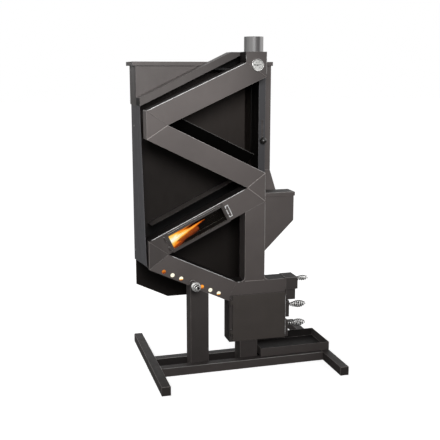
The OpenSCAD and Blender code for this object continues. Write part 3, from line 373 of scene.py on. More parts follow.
def paint(name, colour, *layers, rough=0.5, spread=0.12, grain=0.12, wear=0.0, specular=0.32):
    """Satin stove paint: powder grain, cloudy tone and faint marks, and then its layers in turn."""
    n = Nodes(name)
    cloud = n.noise(CLOUDS, 3.0, 0.6)
    powder = n.noise(POWDER, 2.0, 0.6)
    marks = n.noise(MARKS, 4.0, 0.65, stretch=(1, 1, 0.35))
    tone = n.patches(cloud, scaled(colour, 1 - spread), scaled(colour, 1 + spread))
    tone = n.mix(n.span(powder, 0.35, 0.7, 0.0, 0.35), tone, scaled(colour, 1.25))
    tone = n.mix(n.span(marks, 0.62, 0.8, 0.0, 0.22), tone, scaled(colour, 1.5))
    if wear:
        tone = n.mix(n.span(n.noise(SCUFFS, 3.0, 0.7), 0.42, 0.62, 0.0, wear), tone, SCUFFED)
    shine = specular
    for layer in layers:
        tone, shine = layer(n, colour, tone, shine)
    normal = n.bump(n.noise(GRAIN, 2.0, 0.55), grain, 0.0006)
    return n.show(n.shader("BsdfPrincipled", Base_Color=tone, Specular_IOR_Level=shine,
                           Roughness=n.span(marks, 0.3, 0.75, rough + 0.07, rough - 0.09),
                           Normal=n.bump(cloud, 0.05, 0.01, normal)))


def metal(name, colour, rough, stretch=(1, 1, 1), spots=0.25, grain=0.1):
    """Bare or polished steel with drawn scratches and a cloudy tarnish."""
    n = Nodes(name)
    scratch = n.noise(SCRATCHES, 3.0, 0.6, stretch=stretch)
    tone = n.patches(n.noise(TARNISH, 3.0, 0.6), scaled(colour, 1 - spots), scaled(colour, 1 + spots * 0.4))
    tone = n.mix(n.span(scratch, 0.3, 0.8, 0.0, 0.3), tone, scaled(colour, 0.7))
    return n.show(n.shader("BsdfPrincipled", Base_Color=tone, Metallic=1.0,
                           Roughness=n.span(scratch, 0.3, 0.75, rough * 0.75, rough * 1.3),
                           Normal=n.bump(scratch, grain, 0.0004)))


# tones of painted reflection round the flue collar from left to right
PIPE_REFLECTION = [(0.06, (0.13, 0.13, 0.13)), (0.17, (0.235, 0.23, 0.228)), (0.36, (0.215, 0.21, 0.21)),
              (0.50, (0.105, 0.10, 0.10)), (0.64, (0.10, 0.096, 0.096)), (0.76, (0.36, 0.35, 0.35)),
              (0.92, (0.52, 0.51, 0.50))]


def pipe_painted_reflection():
    """Steel pipe with painted reflections: bands of tone that run round it by which way it faces, with streaks
    along it.
    """
    n = Nodes("collar_reflection_paint")
    streak = n.noise(60.0, 3.0, 0.6, stretch=(1, 1, 0.02))
    level = n.math("ADD", n.rise(n.facing()["X"], -1.0, 1.0), n.wobble(streak, 0.10))
    return n.show(n.shader("BsdfPrincipled", Base_Color=n.ramp(level, PIPE_REFLECTION), Specular_IOR_Level=0.4,
                           Roughness=n.span(streak, 0.3, 0.7, 0.40, 0.52),
                           Normal=n.bump(streak, 0.05, 0.0006)))


# painted reflections on a wire, as tones by how much it faces up: a coil seen from the side, and one seen from
# its end
REFLECTION_FROM_SIDE = [(0.12, (0.012, 0.011, 0.011)), (0.26, (0.10, 0.098, 0.095)), (0.36, (0.95, 0.94, 0.92)),
           (0.78, (0.93, 0.92, 0.90)), (0.88, (0.10, 0.098, 0.095)), (0.96, (0.02, 0.019, 0.018))]
REFLECTION_FROM_END = [(0.05, (0.06, 0.058, 0.056)), (0.25, (0.62, 0.61, 0.60)), (0.50, (0.93, 0.92, 0.90)),
          (0.80, (0.86, 0.85, 0.83)), (0.97, (0.30, 0.29, 0.28))]


def wire_painted_reflection(name, tones):
    """Polished wire with painted reflections by how much it faces up, bright on the coil's outer side, and
    painted shade on its inner side.
    """
    n = Nodes(name)
    up = n.math("ADD", n.facing()["Z"], n.wobble(n.noise(160.0, 2.0, 0.5), 0.5))
    tone = n.ramp(n.rise(up, -1.0, 1.0), tones)
    tone = n.mix(n.drop(n.uv()["X"], 0.30, 0.50), tone, PAINTED_SHADE)
    scratch = n.noise(SCRATCHES, 3.0, 0.6)
    return n.show(n.shader("BsdfPrincipled", Base_Color=tone, Metallic=0.3,
                           Roughness=n.span(scratch, 0.3, 0.75, 0.16, 0.28),
                           Normal=n.bump(scratch, 0.06, 0.0004)))


def dial_paint():
    n = Nodes("dial_paint")
    cloud = n.noise(60.0, 3.0, 0.6)
    tone = n.patches(cloud, (0.78, 0.775, 0.75), (0.86, 0.855, 0.835))
    return n.show(n.shader("BsdfPrincipled", Base_Color=tone, Roughness=n.span(cloud, 0.3, 0.7, 0.34, 0.44),
                           Normal=n.bump(n.noise(900.0, 2.0, 0.5), 0.05, 0.0003)))


def ink():
    n = Nodes("dial_ink")
    cloud = n.noise(400.0, 2.0, 0.6)
    tone = n.patches(cloud, (0.012, 0.012, 0.013), (0.03, 0.03, 0.031))
    return n.show(n.shader("BsdfPrincipled", Base_Color=tone, Roughness=n.span(cloud, 0.3, 0.7, 0.4, 0.55)))


def glass(name, tint, rough, soot_and_shade):
    """Clear ceramic glass with a brownish film that thickens in clouds."""
    n = Nodes(name)
    cloud = n.noise(24.0, 4.0, 0.62)
    film = n.shader("BsdfPrincipled", Base_Color=n.patches(cloud, (0.02, 0.017, 0.014), (0.05, 0.042, 0.034)),
                    Roughness=n.span(cloud, 0.3, 0.7, rough, rough + 0.1), Specular_IOR_Level=0.5)
    clear = n.shader("BsdfTransparent", Color=n.patches(cloud, tint, scaled(tint, 0.94)))
    return n.show(n.blend(n.span(cloud, 0.35, 0.75, soot_and_shade * 0.5, soot_and_shade * 1.5), clear, film))


# tones of the fire, from cool to hot
HOT = [(0.0, (0.30, 0.03, 0.0)), (0.25, (0.78, 0.13, 0.01)), (0.45, (0.98, 0.33, 0.02)),
       (0.62, (1.0, 0.62, 0.11)), (0.78, (1.0, 0.88, 0.42)), (0.95, (1.0, 0.99, 0.90))]
DULL = [(0.0, (0.11, 0.023, 0.010)), (0.25, (0.29, 0.050, 0.013)), (0.6, (0.40, 0.078, 0.014)),
        (0.9, (0.66, 0.17, 0.02))]
EMBER = [(0.02, (0.22, 0.04, 0.01)), (0.3, (0.90, 0.30, 0.03)), (0.55, (1.0, 0.66, 0.16)),
         (0.8, (1.0, 0.95, 0.76))]


def flame(name, reach, strength, colours=HOT, tatter=0.25):
    """Fire: hottest at the root, with ragged, clear edges. U runs along a tongue, V across it."""
    n = Nodes(name)
    uv = n.uv()
    ragged = n.math("ADD", n.noise(7.0, 4.0, 0.65, stretch=(1.0, 3.2, 1.0), space="UV"),
                    n.wobble(n.noise(26.0, 2.0, 0.6, space="UV"), tatter))
    across = n.math("ABSOLUTE", n.math("SUBTRACT", uv["Y"], 0.5))
    edge = n.math("ADD", n.times(across, 1.5), n.times(uv["X"], reach))
    heat = n.math("SUBTRACT", 1.12, n.math("ADD", edge, n.wobble(ragged, 0.9)))
    glow = n.shader("Emission", Color=n.ramp(heat, colours), Strength=strength)
    return n.show(n.blend(n.rise(heat, 0.05, 0.32), n.shader("BsdfTransparent"), glow))


def ember_glow():
    """The glowing bed seen through the air holes: white-hot, and cooler as U rises."""
    n = Nodes("ember_glow")
    patch = n.math("ADD", 1.15, n.wobble(n.noise(30.0, 3.0, 0.6), 0.7))
    heat = n.math("SUBTRACT", patch, n.times(n.uv()["X"], 1.15))
    return n.show(n.shader("Emission", Color=n.ramp(heat, EMBER), Strength=1.15))


FINISH = {
    # tube paints with painted shade inside the tubes and on their tops; the top run and flue box also on left
    # sides and towards the right, the third run and its corner towards the left
    "tube": paint("tube_paint", CHARCOAL, painted_shade_inside(TUBE_MOUTH), painted_shade_top(0.14)),
    "high_tube": paint("high_tube_paint", CHARCOAL, painted_shade_inside(TUBE_MOUTH), painted_shade_left(0.12), painted_shade_top(0.14),
                       painted_shade_along("X", -0.05, 0.08, 0.64)),
    "low_tube": paint("low_tube_paint", CHARCOAL, painted_shade_inside(TUBE_MOUTH), painted_shade_top(0.14),
                      painted_shade_along("X", -0.25, -0.35, 0.62)),
    # edge paints, here and below, are lighter than their faces: partly worn paint, partly painted highlight on
    # the rounded edges
    "tube_edge": paint("tube_edge_paint", scaled(CHARCOAL, 1.9), worn_and_highlight(0.9), rough=0.3, wear=0.4,
                       specular=0.5),
    # painted shade: darker copies of the charcoal paint low down, the back rail darkest behind the front rail,
    # with darker tops and a dark inside to the tray
    "fuel": paint("feed_paint", scaled(CHARCOAL, 0.90), painted_shade_top(0.3)),
    "base": paint("stand_paint", scaled(CHARCOAL, 0.52), painted_shade_top(0.50)),
    "base_edge": paint("stand_edge_paint", scaled(CHARCOAL, 1.2), rough=0.34, wear=0.25, specular=0.5),
    "rail": paint("rail_paint", scaled(CHARCOAL, 0.78), painted_shade_top(0.45)),
    "back_rail": paint("back_rail_paint", scaled(CHARCOAL, 0.24), painted_shade_top(0.9)),
    "tray": paint("tray_paint", scaled(CHARCOAL, 0.74), painted_shade_inside(TRAY_MOUTH, TRAY_PAINTED_SHADE), painted_shade_top(0.12)),
    "box": paint("burner_paint", scaled(CHARCOAL, 0.58), painted_shade_top(0.45), rough=0.55, grain=0.2),
    "box_edge": paint("burner_edge_paint", scaled(CHARCOAL, 1.2), worn_and_highlight(0.6), rough=0.38, wear=0.2,
                      specular=0.5),
    "door": paint("door_paint", (0.086, 0.074, 0.067), rough=0.55, grain=0.2),
    # the casing's side wall darker towards its top: painted shade; its edge paint lighter, partly wear and
    # partly painted highlight
    "sheet": paint("casing_paint", scaled(COOL, 1.08), painted_shade_along("Z", 0.70, 1.15, 0.74), rough=0.6,
                   specular=0.2),
    "sheet_edge": paint("casing_edge_paint", scaled(COOL, 1.5), rough=0.36, wear=0.3, specular=0.5),
    # painted shade: black inside the casing; the roof a darker copy of the charcoal paint, darker still
    # towards its right end; the hopper black under the roof's line and darker on its left side; the back panel
    # with a shadow band under the lower deflector, darker towards its bottom
    "strip": paint("strip_paint", scaled(COOL, 0.52), casing_painted_shade(CASING_MOUTH, CASING_REAR), rough=0.45),
    "strip_edge": paint("strip_edge_paint", scaled(COOL, 1.5), casing_painted_shade(CASING_MOUTH + 0.0003),
                        rough=0.36, wear=0.3, specular=0.5),
    "roof": paint("roof_paint", scaled(CHARCOAL, 0.76), casing_painted_shade(CASING_MOUTH),
                  painted_shade_along("X", -0.22, 0.0, 0.58), rough=0.48),
    "hopper": paint("hopper_paint", scaled(CHARCOAL, 0.84), roof_shadow(), painted_shade_left(0.5), rough=0.46),
    "back": paint("back_panel_paint", (0.030, 0.0242, 0.0215), deflector_shadow(),
                  painted_shade_along("Z", 1.05, 0.82, 0.55), rough=0.6, grain=0.2, specular=0.15),
    "lip": paint("deflector_paint", (0.135, 0.120, 0.111), rough=0.5, grain=0.2, specular=0.3),
    "lip_edge": paint("deflector_edge_paint", (0.050, 0.044, 0.040), rough=0.5, specular=0.3),
    # near black paint on the heat deflector: painted shade on its underside; the lighter edge paint below,
    # used also on the flue collar, is partly wear and partly painted highlight
    "soot_and_shade": paint("shade_black_paint", PAINTED_SHADE, rough=0.75, grain=0.2, specular=0.05),
    "black_edge": paint("black_edge_paint", (0.16, 0.155, 0.15), rough=0.4, wear=0.4),
    # the lighter weld paint is partly wear and partly painted highlight
    "weld": paint("weld_highlight_paint", scaled(CHARCOAL, 2.3), rough=0.34, wear=0.5, specular=0.5),
    "weld_dark": paint("weld_dark_paint", scaled(CHARCOAL, 1.05), rough=0.4, wear=0.1, specular=0.5),
    # bright and dim edge strips: partly worn paint, partly painted highlight
    "shine": paint("worn_highlight_edge_paint", (0.86, 0.85, 0.83), rough=0.3, spread=0.35, specular=0.6),
    "sheen": paint("sheen_edge_highlight_paint", (0.34, 0.33, 0.32), rough=0.32, spread=0.35, specular=0.5),
    "knob": paint("knob_plastic", (0.022, 0.021, 0.02), rough=0.3, grain=0.04, specular=0.5),
    "bare": metal("bare_steel", (0.36, 0.35, 0.34), 0.42, stretch=(1, 1, 0.08)),
    "bright": metal("bright_steel", (0.80, 0.79, 0.775), 0.16, spots=0.12, grain=0.04),
    "bezel": metal("bezel_steel", (0.72, 0.71, 0.70), 0.2, spots=0.1, grain=0.04),
    "collar": pipe_painted_reflection(),
    "wire": wire_painted_reflection("wire_painted_reflection", REFLECTION_FROM_SIDE),
    "wire_end": wire_painted_reflection("wire_painted_reflection_end_on", REFLECTION_FROM_END),
    "dial": dial_paint(),
    "ink": ink(),
    "glass": glass("window_glass_clear", (0.93, 0.92, 0.90), 0.12, 0.06),
    "dial_glass": glass("dial_glass_clear", (0.97, 0.97, 0.97), 0.06, 0.02),
    "flame": flame("flame", 0.85, 1.35),
    "flame_back": flame("flame_back", 1.0, 0.8),
    "flame_dull": flame("flame_dull", 0.55, 0.85, DULL, tatter=0.7),
    "ember": ember_glow(),
}


# mesh helpers: angles in degrees, and the share of their size that beads and wires have at their ends
SAME_POINT = 1e-6
FLAT_ANGLE, SHARP_ANGLE = 0.6, 28
BEAD_END, WIRE_END = 0.3, 0.55


def new_mesh(name, verts, faces, mat, body, uvs=None, smooth=True, angle=40):
    mesh = bpy.data.meshes.new(name)
    mesh.from_pydata([tuple(v) for v in verts], [], [tuple(f) for f in faces])
    mesh.validate()
    if smooth:
        mesh.shade_smooth()
        mesh.set_sharp_from_angle(angle=math.radians(angle))
    if uvs:
        layer = mesh.uv_layers.new(name="UVMap")
        for loop in mesh.loops:
            layer.data[loop.index].uv = uvs[loop.vertex_index]
    mesh.materials.append(FINISH[mat])
    obj = bpy.data.objects.new(name, mesh)
    scene.collection.objects.link(obj)
    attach(obj, body)
    return obj


def dress(node, radius, segments, mat, edge_mat):
    """Stands in for a CAD node: the same shape with rounded edges in their own finish, mostly a lighter paint
    that is partly wear and partly painted highlight.
    """
    mesh = nodes[node].data.copy()
    mesh.name = "dressed_" + node
    bm = bmesh.new()
    bm.from_mesh(mesh)
    bmesh.ops.remove_doubles(bm, verts=bm.verts, dist=SAME_POINT)
    bmesh.ops.dissolve_limit(bm, angle_limit=math.radians(FLAT_ANGLE), verts=bm.verts, edges=bm.edges)
    for face in bm.faces:
        face.material_index = 0
        face.smooth = True
    bm.to_mesh(mesh)
    bm.free()
    mesh.materials.clear()
    mesh.materials.append(FINISH[mat])
    mesh.materials.append(FINISH[edge_mat])
    obj = bpy.data.objects.new("dressed_" + node, mesh)
    scene.collection.objects.link(obj)
    bevel = obj.modifiers.new("rounded_edges", "BEVEL")
    bevel.width = radius
    bevel.segments = segments
    bevel.limit_method = "ANGLE"
    bevel.angle_limit = math.radians(SHARP_ANGLE)
    bevel.use_clamp_overlap = True
    bevel.harden_normals = True
    bevel.material = 1
    # the wide faces keep their own normals, so that they shade flat up to the rounded edge
    flat = obj.modifiers.new("flat_faces", "WEIGHTED_NORMAL")
    flat.mode = "FACE_AREA"
    flat.weight = 100
    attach(obj, body_of_node[node])
    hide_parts(node)


def finish_node(node, mat):
    """Keeps a CAD node as it is and gives it a finish."""
    mesh = nodes[node].data
    mesh.materials.clear()
    mesh.materials.append(FINISH[mat])


def around(count):
    """Cosine and sine of angles spread evenly round a circle."""
    angles = [2 * math.pi * k / count for k in range(count)]
    return [(math.cos(a), math.sin(a)) for a in angles]


def skin(rings, sides, first=0):
    """Faces over rings of points that follow one another, closed at both ends."""
    faces = []
    for i in range(rings - 1):
        for k in range(sides):
            a, b = first + i * sides + k, first + i * sides + (k + 1) % sides
            faces.append((a, b, b + sides, a + sides))
    last = first + (rings - 1) * sides
    faces.append(tuple(first + k for k in reversed(range(sides))))
    faces.append(tuple(last + k for k in range(sides)))
    return faces


def direction(points, i):
    """Which way a line of points runs at one of them."""
    return (points[min(i + 1, len(points) - 1)] - points[max(i - 1, 0)]).normalized()


def resample(points, step):
    """Even points along a polyline."""
    out = [points[0].copy()]
    for a, b in zip(points, points[1:]):
        count = max(1, round((b - a).length / step))
        out += [a.lerp(b, (i + 1) / count) for i in range(count)]
    return out


def bead(name, paths, radius, mat):
    """Weld beads: ripples of round puddles along each path, half sunk in the joint."""
    step, pitch, sides = 0.0016, 0.0048, 8
    slow, fast = 71.0, 233.0
    verts, faces = [], []
    for path in paths:
        points = resample(path, step)
        first = len(verts)
        travelled = 0.0
        for i, point in enumerate(points):
            along = direction(points, i)
            side = along.cross(Vector((0, -1, 0)))
            side = side.normalized() if side.length > 0.1 else Vector((1, 0, 0))
            up = side.cross(along)
            if i:
                travelled += (point - points[i - 1]).length
            ripple = 0.80 + 0.20 * abs(math.sin(math.pi * travelled / pitch))
            ripple *= 1 + 0.10 * math.sin(travelled * slow + first) + 0.06 * math.sin(travelled * fast)
            if i in (0, len(points) - 1):
                ripple *= BEAD_END
            verts += [point + radius * ripple * (c * side + s * up) for c, s in around(sides)]
        faces += skin(len(points), sides, first)
    new_mesh(name, verts, faces, mat, "stove", angle=80)


def tube(name, points, radius, sides, mat, body, outward=None):
    """A round wire along a list of points, with rounded ends. Given the outward direction at each point,
    U is 1 on the wire's outer side and 0 on its inner side."""
    verts, uvs = [], []
    normal = direction(points, 0).orthogonal()
    for i, point in enumerate(points):
        along = direction(points, i)
        normal = (normal - along * normal.dot(along)).normalized()
        other = along.cross(normal)
        reach = radius * (WIRE_END if i in (0, len(points) - 1) else 1.0)
        for c, s in around(sides):
            spoke = c * normal + s * other
            verts.append(point + reach * spoke)
            if outward:
                uvs.append((0.5 + 0.5 * spoke.dot(outward[i]), 0.5))
    return new_mesh(name, verts, skin(len(points), sides), mat, body, uvs=uvs, angle=60)


# most pieces that stand in for CAD nodes: radius and steps of the rounding, finish, edges' finish, nodes
DRESSED = (
    (0.0022, 3, "tube", "tube_edge", "flue_run_2 flue_run_4 corner_upper_left corner_right"),
    (0.0022, 3, "tube", "tube_edge", "feed_tube burn_tube"),
    (0.0022, 3, "high_tube", "tube_edge", "flue_run_1 flue_box"),
    (0.0022, 3, "low_tube", "tube_edge", "flue_run_3 corner_lower_left"),
    (0.0018, 3, "base", "base_edge", "foot_left foot_right foot_end_plates main_post short_post"),
    (0.0018, 3, "rail", "base_edge", "rail_front"),
    (0.0018, 3, "back_rail", "base_edge", "rail_back"),
    (0.0013, 3, "box", "box_edge", "burner_box burner_drawer_front ash_drawer_front"),
    (0.0013, 3, "box", "box_edge", "intake_sleeve window_frame"),
    (0.0013, 3, "door", "box_edge", "burner_door"),
    (0.0012, 3, "box", "box_edge", "lighting_port_plug"),
    (0.0007, 2, "sheet", "sheet_edge", "casing_left_wall"),
    (0.0007, 2, "roof", "strip_edge", "casing_roof"),
    (0.0007, 2, "strip", "strip_edge", "casing_right_wall"),
    (0.0007, 2, "hopper", "sheet_edge", "hopper hopper_lid"),
    (0.0009, 2, "fuel", "tube_edge", "feed_box feed_box_lid feed_chute"),
    (0.0007, 2, "tray", "base_edge", "pellet_tray"),
    (0.0006, 2, "back", "back", "casing_back_panel"),
    # the heat deflector's near black paint is painted shade, its lighter edges painted highlight
    (0.0007, 2, "soot_and_shade", "black_edge", "heat_deflector"),
    (0.0007, 2, "lip", "lip_edge", "lower_heat_deflector"),
    (0.0004, 2, "bare", "bright", "window_catch"),
    (0.0006, 2, "bright", "bright", "burner_handle_stem ash_handle_stem intake_handle_stem port_handle_stem"),
    (0.0005, 2, "bare", "bare", "burner_basket ash_pan gate_blade"),
    (0.0005, 2, "bare", "bright", "burner_door_pins window_hinge_pins hopper_hinge_rod gate_rod"),
)
for radius, segments, mat, edge_mat, names in DRESSED:
    for node in names.split():
        dress(node, radius, segments, mat, edge_mat)
# the window latch takes the bright edge paint: a painted highlight
KEPT = {"window_latch": "shine", "window_glass": "glass", "thermometer_glass": "dial_glass",
        "thermometer_needle": "ink", "gate_knob": "knob"}
for node, mat in KEPT.items():
    finish_node(node, mat)

# coiled handles: smooth round wire, a little thicker than the CAD's, inside the same outline; length, width
# and turns of each kind
COIL_WIRE = 0.0052
COIL_FOOT_R, COIL_TIP_R = 0.00575, 0.0034
COIL_LEAN = 1.35
COIL_STEPS, COIL_SIDES = 26, 14
DRAWER_COIL = (0.082, 0.037, 8)
INTAKE_COIL = (0.059, 0.029, 6)
PORT_COIL = (0.082, 0.043, 8)
HANDLE_Y = -0.064


def along_x(x, z):
    """Places a thing that stands on its foot so that it points right from x."""
    return Matrix(((0, 0, 1, x), (0, 1, 0, HANDLE_Y), (-1, 0, 0, z), (0, 0, 0, 1)))


def along_front(x, y, z):
    """The same, pointing to the front."""
    return Matrix(((1, 0, 0, x), (0, 0, -1, y), (0, 1, 0, z), (0, 0, 0, 1)))


def coil(node, place, size, mat):
    length, width, turns = size
    points, outward = [], []
    for i in range(COIL_STEPS * turns + 1):
        t = i / (COIL_STEPS * turns)
        r = COIL_FOOT_R + (COIL_TIP_R - COIL_FOOT_R) * t
        r += ((width - COIL_WIRE) / 2 - COIL_FOOT_R) * math.sin(math.pi * t ** COIL_LEAN)
        a = 2 * math.pi * turns * t
        z = COIL_WIRE / 2 + t * (length - COIL_WIRE)
        points.append(place @ Vector((r * math.cos(a), r * math.sin(a), z)))
        outward.append(place.to_3x3() @ Vector((math.cos(a), math.sin(a), 0)))
    obj = tube("wound_" + node, points, COIL_WIRE / 2, COIL_SIDES, mat, body_of_node[node],
               outward)
    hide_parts(node)


def middle(node):
    lo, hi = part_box(node)
    return [(a + b) / 2 for a, b in zip(lo, hi)]


for handle, size in (("burner", DRAWER_COIL), ("ash", DRAWER_COIL), ("intake", INTAKE_COIL)):
    node = handle + "_handle_coil"
    coil(node, along_x(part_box(node)[0].x, middle(handle + "_handle_stem")[2]), size, "wire")
port_x, _, port_z = middle("port_handle_stem")
coil("port_handle_coil", along_front(port_x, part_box("port_handle_coil")[1].y, port_z), PORT_COIL, "wire_end")

# dial: a plate in the case, printed with ticks, a ring and numbers; angles in degrees
DIAL = along_front(0.071, -0.1060, 1.304)
DIAL_START, DIAL_SWEEP = 225, 270
HUB_R, PLATE_R, PLATE_DEEP, PLATE_SIDES = 0.0001, 0.0232, 0.0004, 64
PRINT_UP = 0.00043
RING_IN, RING_OUT, RING_STEPS = 0.0210, 0.0214, 60
TICKS, HUNDREDS = 40, 5
TICK_IN, TICK_HALF = 0.0192, 0.00016
LONG_TICK_IN, LONG_TICK_HALF = 0.0165, 0.00034
NUMBER_R, NUMBER_SIZE = 0.0127, 0.0046


def on_dial(share, radius, aside=0.0):
    """A printed point at a share of the scale."""
    a = math.radians(DIAL_START - DIAL_SWEEP * share)
    x, y = radius * math.cos(a) - aside * math.sin(a), radius * math.sin(a) + aside * math.cos(a)
    return Vector((x, y, PRINT_UP))


def dial_plate():
    rings = ((HUB_R, 0.0), (PLATE_R, 0.0), (PLATE_R, PLATE_DEEP), (HUB_R, PLATE_DEEP))
    verts = [DIAL @ Vector((r * c, r * s, z)) for r, z in rings for c, s in around(PLATE_SIDES)]
    new_mesh("dial_plate", verts, skin(len(rings), PLATE_SIDES), "dial", "stove", angle=35)


def dial_ticks():
    verts, faces = [], []
    for i in range(TICKS + 1):
        start, half = TICK_IN, TICK_HALF
        if i % (TICKS // HUNDREDS) == 0:
            start, half = LONG_TICK_IN, LONG_TICK_HALF
        faces.append(range(len(verts), len(verts) + 4))
        corners = ((start, -half), (RING_OUT, -half), (RING_OUT, half), (start, half))
        verts += [DIAL @ on_dial(i / TICKS, r, aside) for r, aside in corners]
    first, count = len(verts), RING_STEPS + 1
    verts += [DIAL @ on_dial(i / RING_STEPS, r) for r in (RING_OUT, RING_IN) for i in range(count)]
    faces += [(i, i + 1, i + 1 + count, i + count) for i in range(first, first + RING_STEPS)]
    new_mesh("dial_ticks", verts, faces, "ink", "stove", smooth=False)


def dial_number(i):
    curve = bpy.data.curves.new("number", "FONT")
    curve.body = str(100 * i)
    curve.size = NUMBER_SIZE
    curve.align_x = "CENTER"
    curve.align_y = "CENTER"
    text = bpy.data.objects.new("number", curve)
    scene.collection.objects.link(text)
    bpy.context.view_layer.update()
    mesh = bpy.data.meshes.new_from_object(text.evaluated_get(bpy.context.evaluated_depsgraph_get()))
    bpy.data.objects.remove(text)
    mesh.transform(DIAL @ Matrix.Translation(on_dial(i / HUNDREDS, NUMBER_R)))
    mesh.materials.clear()
    mesh.materials.append(FINISH["ink"])
    number = bpy.data.objects.new(f"dial_number_{i}", mesh)
    scene.collection.objects.link(number)
    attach(number, "stove")


dress("thermometer_case", 0.0006, 3, "bezel", "bezel")
dial_plate()
dial_ticks()
for i in range(HUNDREDS + 1):
    dial_number(i)

# the flue collar with its painted reflections, and the screws of the casing
dress("flue_collar", 0.0007, 2, "collar", "black_edge")
dress("casing_screws", 0.0005, 2, "bare", "bare")

# fire seen through the window and the air holes
WINDOW_X, WINDOW_DROP = -0.187, 0.0035
WINDOW = Vector((WINDOW_X, 0, (run3_top(WINDOW_X) + run3_foot(WINDOW_X)) / 2 - WINDOW_DROP))
# two groups of air holes, from the outer hole of each, and how far they lie up from the run's lower edge
HOLE_LEFT, HOLE_RIGHT, HOLE_PITCH, HOLE_UP = -0.334, -0.095, 0.041, 0.0155
HOLE_STEP = HOLE_PITCH * cos(SLOPE_4)
HOLES = [x + i * HOLE_STEP for x in (HOLE_LEFT, HOLE_RIGHT - 2 * HOLE_STEP) for i in range(3)]
EMBER_Y, EMBER_R, EMBER_DISH = -0.1002, 0.0104, 0.0004
EMBER_RINGS, EMBER_SIDES = 3, 24
# how far the ember in each hole has cooled over its upper half and at its foot
COOLED = ((0.85, 1.05), (0.0, 0.45), (0.0, 1.25), (0.75, 1.0), (0.0, 0.4), (0.0, 1.3))


def at_window(u, y, w):
    """A point by its way up the third run and across it, from the middle of the window."""
    return WINDOW + Vector((u * cos(SLOPE_3) - w * sin(SLOPE_3), y, u * sin(SLOPE_3) + w * cos(SLOPE_3)))


def tongue(name, mat, u, y, w, width, bend, waist):
    """A ragged sheet of flame behind the glass, from the first u and w to the second."""
    steps, across = 28, 10
    verts, uvs, faces = [], [], []
    for i in range(steps + 1):
        t = i / steps
        here_u = u[0] + (u[1] - u[0]) * t
        here_w = w[0] + (w[1] - w[0]) * t + bend * math.sin(math.pi * t)
        here_width = width * (1 - 0.25 * t - waist * min(1.0, max(0.0, (t - 0.3) / 0.3)))
        for k in range(across + 1):
            v = k / across
            ripple = 0.006 * math.sin(7 * v + 5 * t) + 0.004 * math.sin(9 * t + 4 * v + 20 * u[0])
            verts.append(at_window(here_u, y + ripple, here_w + (v - 0.5) * here_width))
            uvs.append((t, v))
    row = across + 1
    for i in range(steps):
        for k in range(across):
            a = i * row + k
            faces.append((a, a + 1, a + row + 1, a + row))
    new_mesh(name, verts, faces, mat, "stove", uvs=uvs, angle=180)


def ember(name, x, upper, foot):
    """A glowing dish behind an air hole; U is how far it has cooled."""
    z = run4_foot(x) + HOLE_UP / cos(SLOPE_4)
    verts, uvs = [Vector((x, EMBER_Y, z))], [(upper, 0.5)]
    for ring in range(1, EMBER_RINGS + 1):
        share = ring / EMBER_RINGS
        for c, s in around(EMBER_SIDES):
            y = EMBER_Y + EMBER_DISH * (EMBER_RINGS - ring)
            verts.append(Vector((x + EMBER_R * share * c, y, z + EMBER_R * share * s)))
            uvs.append((foot + (upper - foot) * min(1.0, 1 + s * share), 0.5))
    faces = [(0, 1 + k, 1 + (k + 1) % EMBER_SIDES) for k in range(EMBER_SIDES)]
    for ring in range(EMBER_RINGS - 1):
        for k in range(EMBER_SIDES):
            a, b = 1 + ring * EMBER_SIDES + k, 1 + ring * EMBER_SIDES + (k + 1) % EMBER_SIDES
            faces.append((a, a + EMBER_SIDES, b + EMBER_SIDES, b))
    new_mesh(name, verts, faces, "ember", "stove", uvs=uvs, angle=180)


tongue("flame_main", "flame", (-0.138, 0.047), -0.088, (0.000, 0.012), 0.060, 0.001, 0.55)
tongue("flame_low", "flame_dull", (-0.140, 0.008), -0.0835, (-0.010, -0.007), 0.072, 0.002, 0.35)
tongue("flame_high", "flame_back", (-0.134, 0.004), -0.078, (0.014, 0.016), 0.026, 0.004, 0.45)
for i, (x, (upper, foot)) in enumerate(zip(HOLES, COOLED)):
    ember(f"ember_{i + 1}", x, upper, foot)


# weld beads along the seams that show; the lighter weld paint is partly wear and partly painted highlight
def at(x, z, y=FRONT):
    return Vector((x, y, z))


def on(top, x):
    """A point of the front plane on a line of the runs."""
    return at(x, top(x))


BEAD, FOOT_BEAD, FILLET_BEAD, THIN_BEAD, TOP_BEAD = 0.0022, 0.0020, 0.0019, 0.0018, 0.0016
# half of the feed tube's foot: distance out from its side, and height over the level tube
FILLET = ((0.015, 0.0008), (0.007, 0.0035), (0.0015, 0.009), (-0.0002, 0.017))
corner1, corner2, corner3 = at(*inner1), at(*inner2), at(*inner3)
bead("weld_upper_left", [[at(LEFT, RUN_2_FOOT), corner1]], BEAD, "weld")
bead("weld_upper_left_top", [[at(LEFT, RUN_1_TOP), corner1]], TOP_BEAD, "weld_dark")
bead("weld_right", [[corner2, on(run2_top, RIGHT)], [corner2, on(run3_foot, RIGHT)]], BEAD, "weld")
bead("weld_lower_left", [[corner3, at(LEFT, RUN_3_TOP)], [corner3, at(LEFT, RUN_4_FOOT)]], THIN_BEAD,
     "weld_dark")
bead("weld_flue_box", [[on(run1_top, FEED_LEFT), on(run1_foot, RIGHT)]], THIN_BEAD, "weld_dark")
bead("weld_feed_tube", [[on(run3_foot, FEED_LEFT), on(run3_foot, RIGHT)]], THIN_BEAD, "weld_dark")
bead("weld_feed_foot", [[at(FEED_LEFT, LEVEL_TOP), at(RIGHT, LEVEL_TOP)]], FOOT_BEAD, "weld")
left_foot = [at(FEED_LEFT - out, LEVEL_TOP + up) for out, up in FILLET]
right_foot = [at(RIGHT + out, LEVEL_TOP + up) for out, up in reversed(FILLET)]
bead("weld_feed_left", [left_foot], FILLET_BEAD, "weld")
bead("weld_feed_right", [right_foot], FILLET_BEAD, "weld")

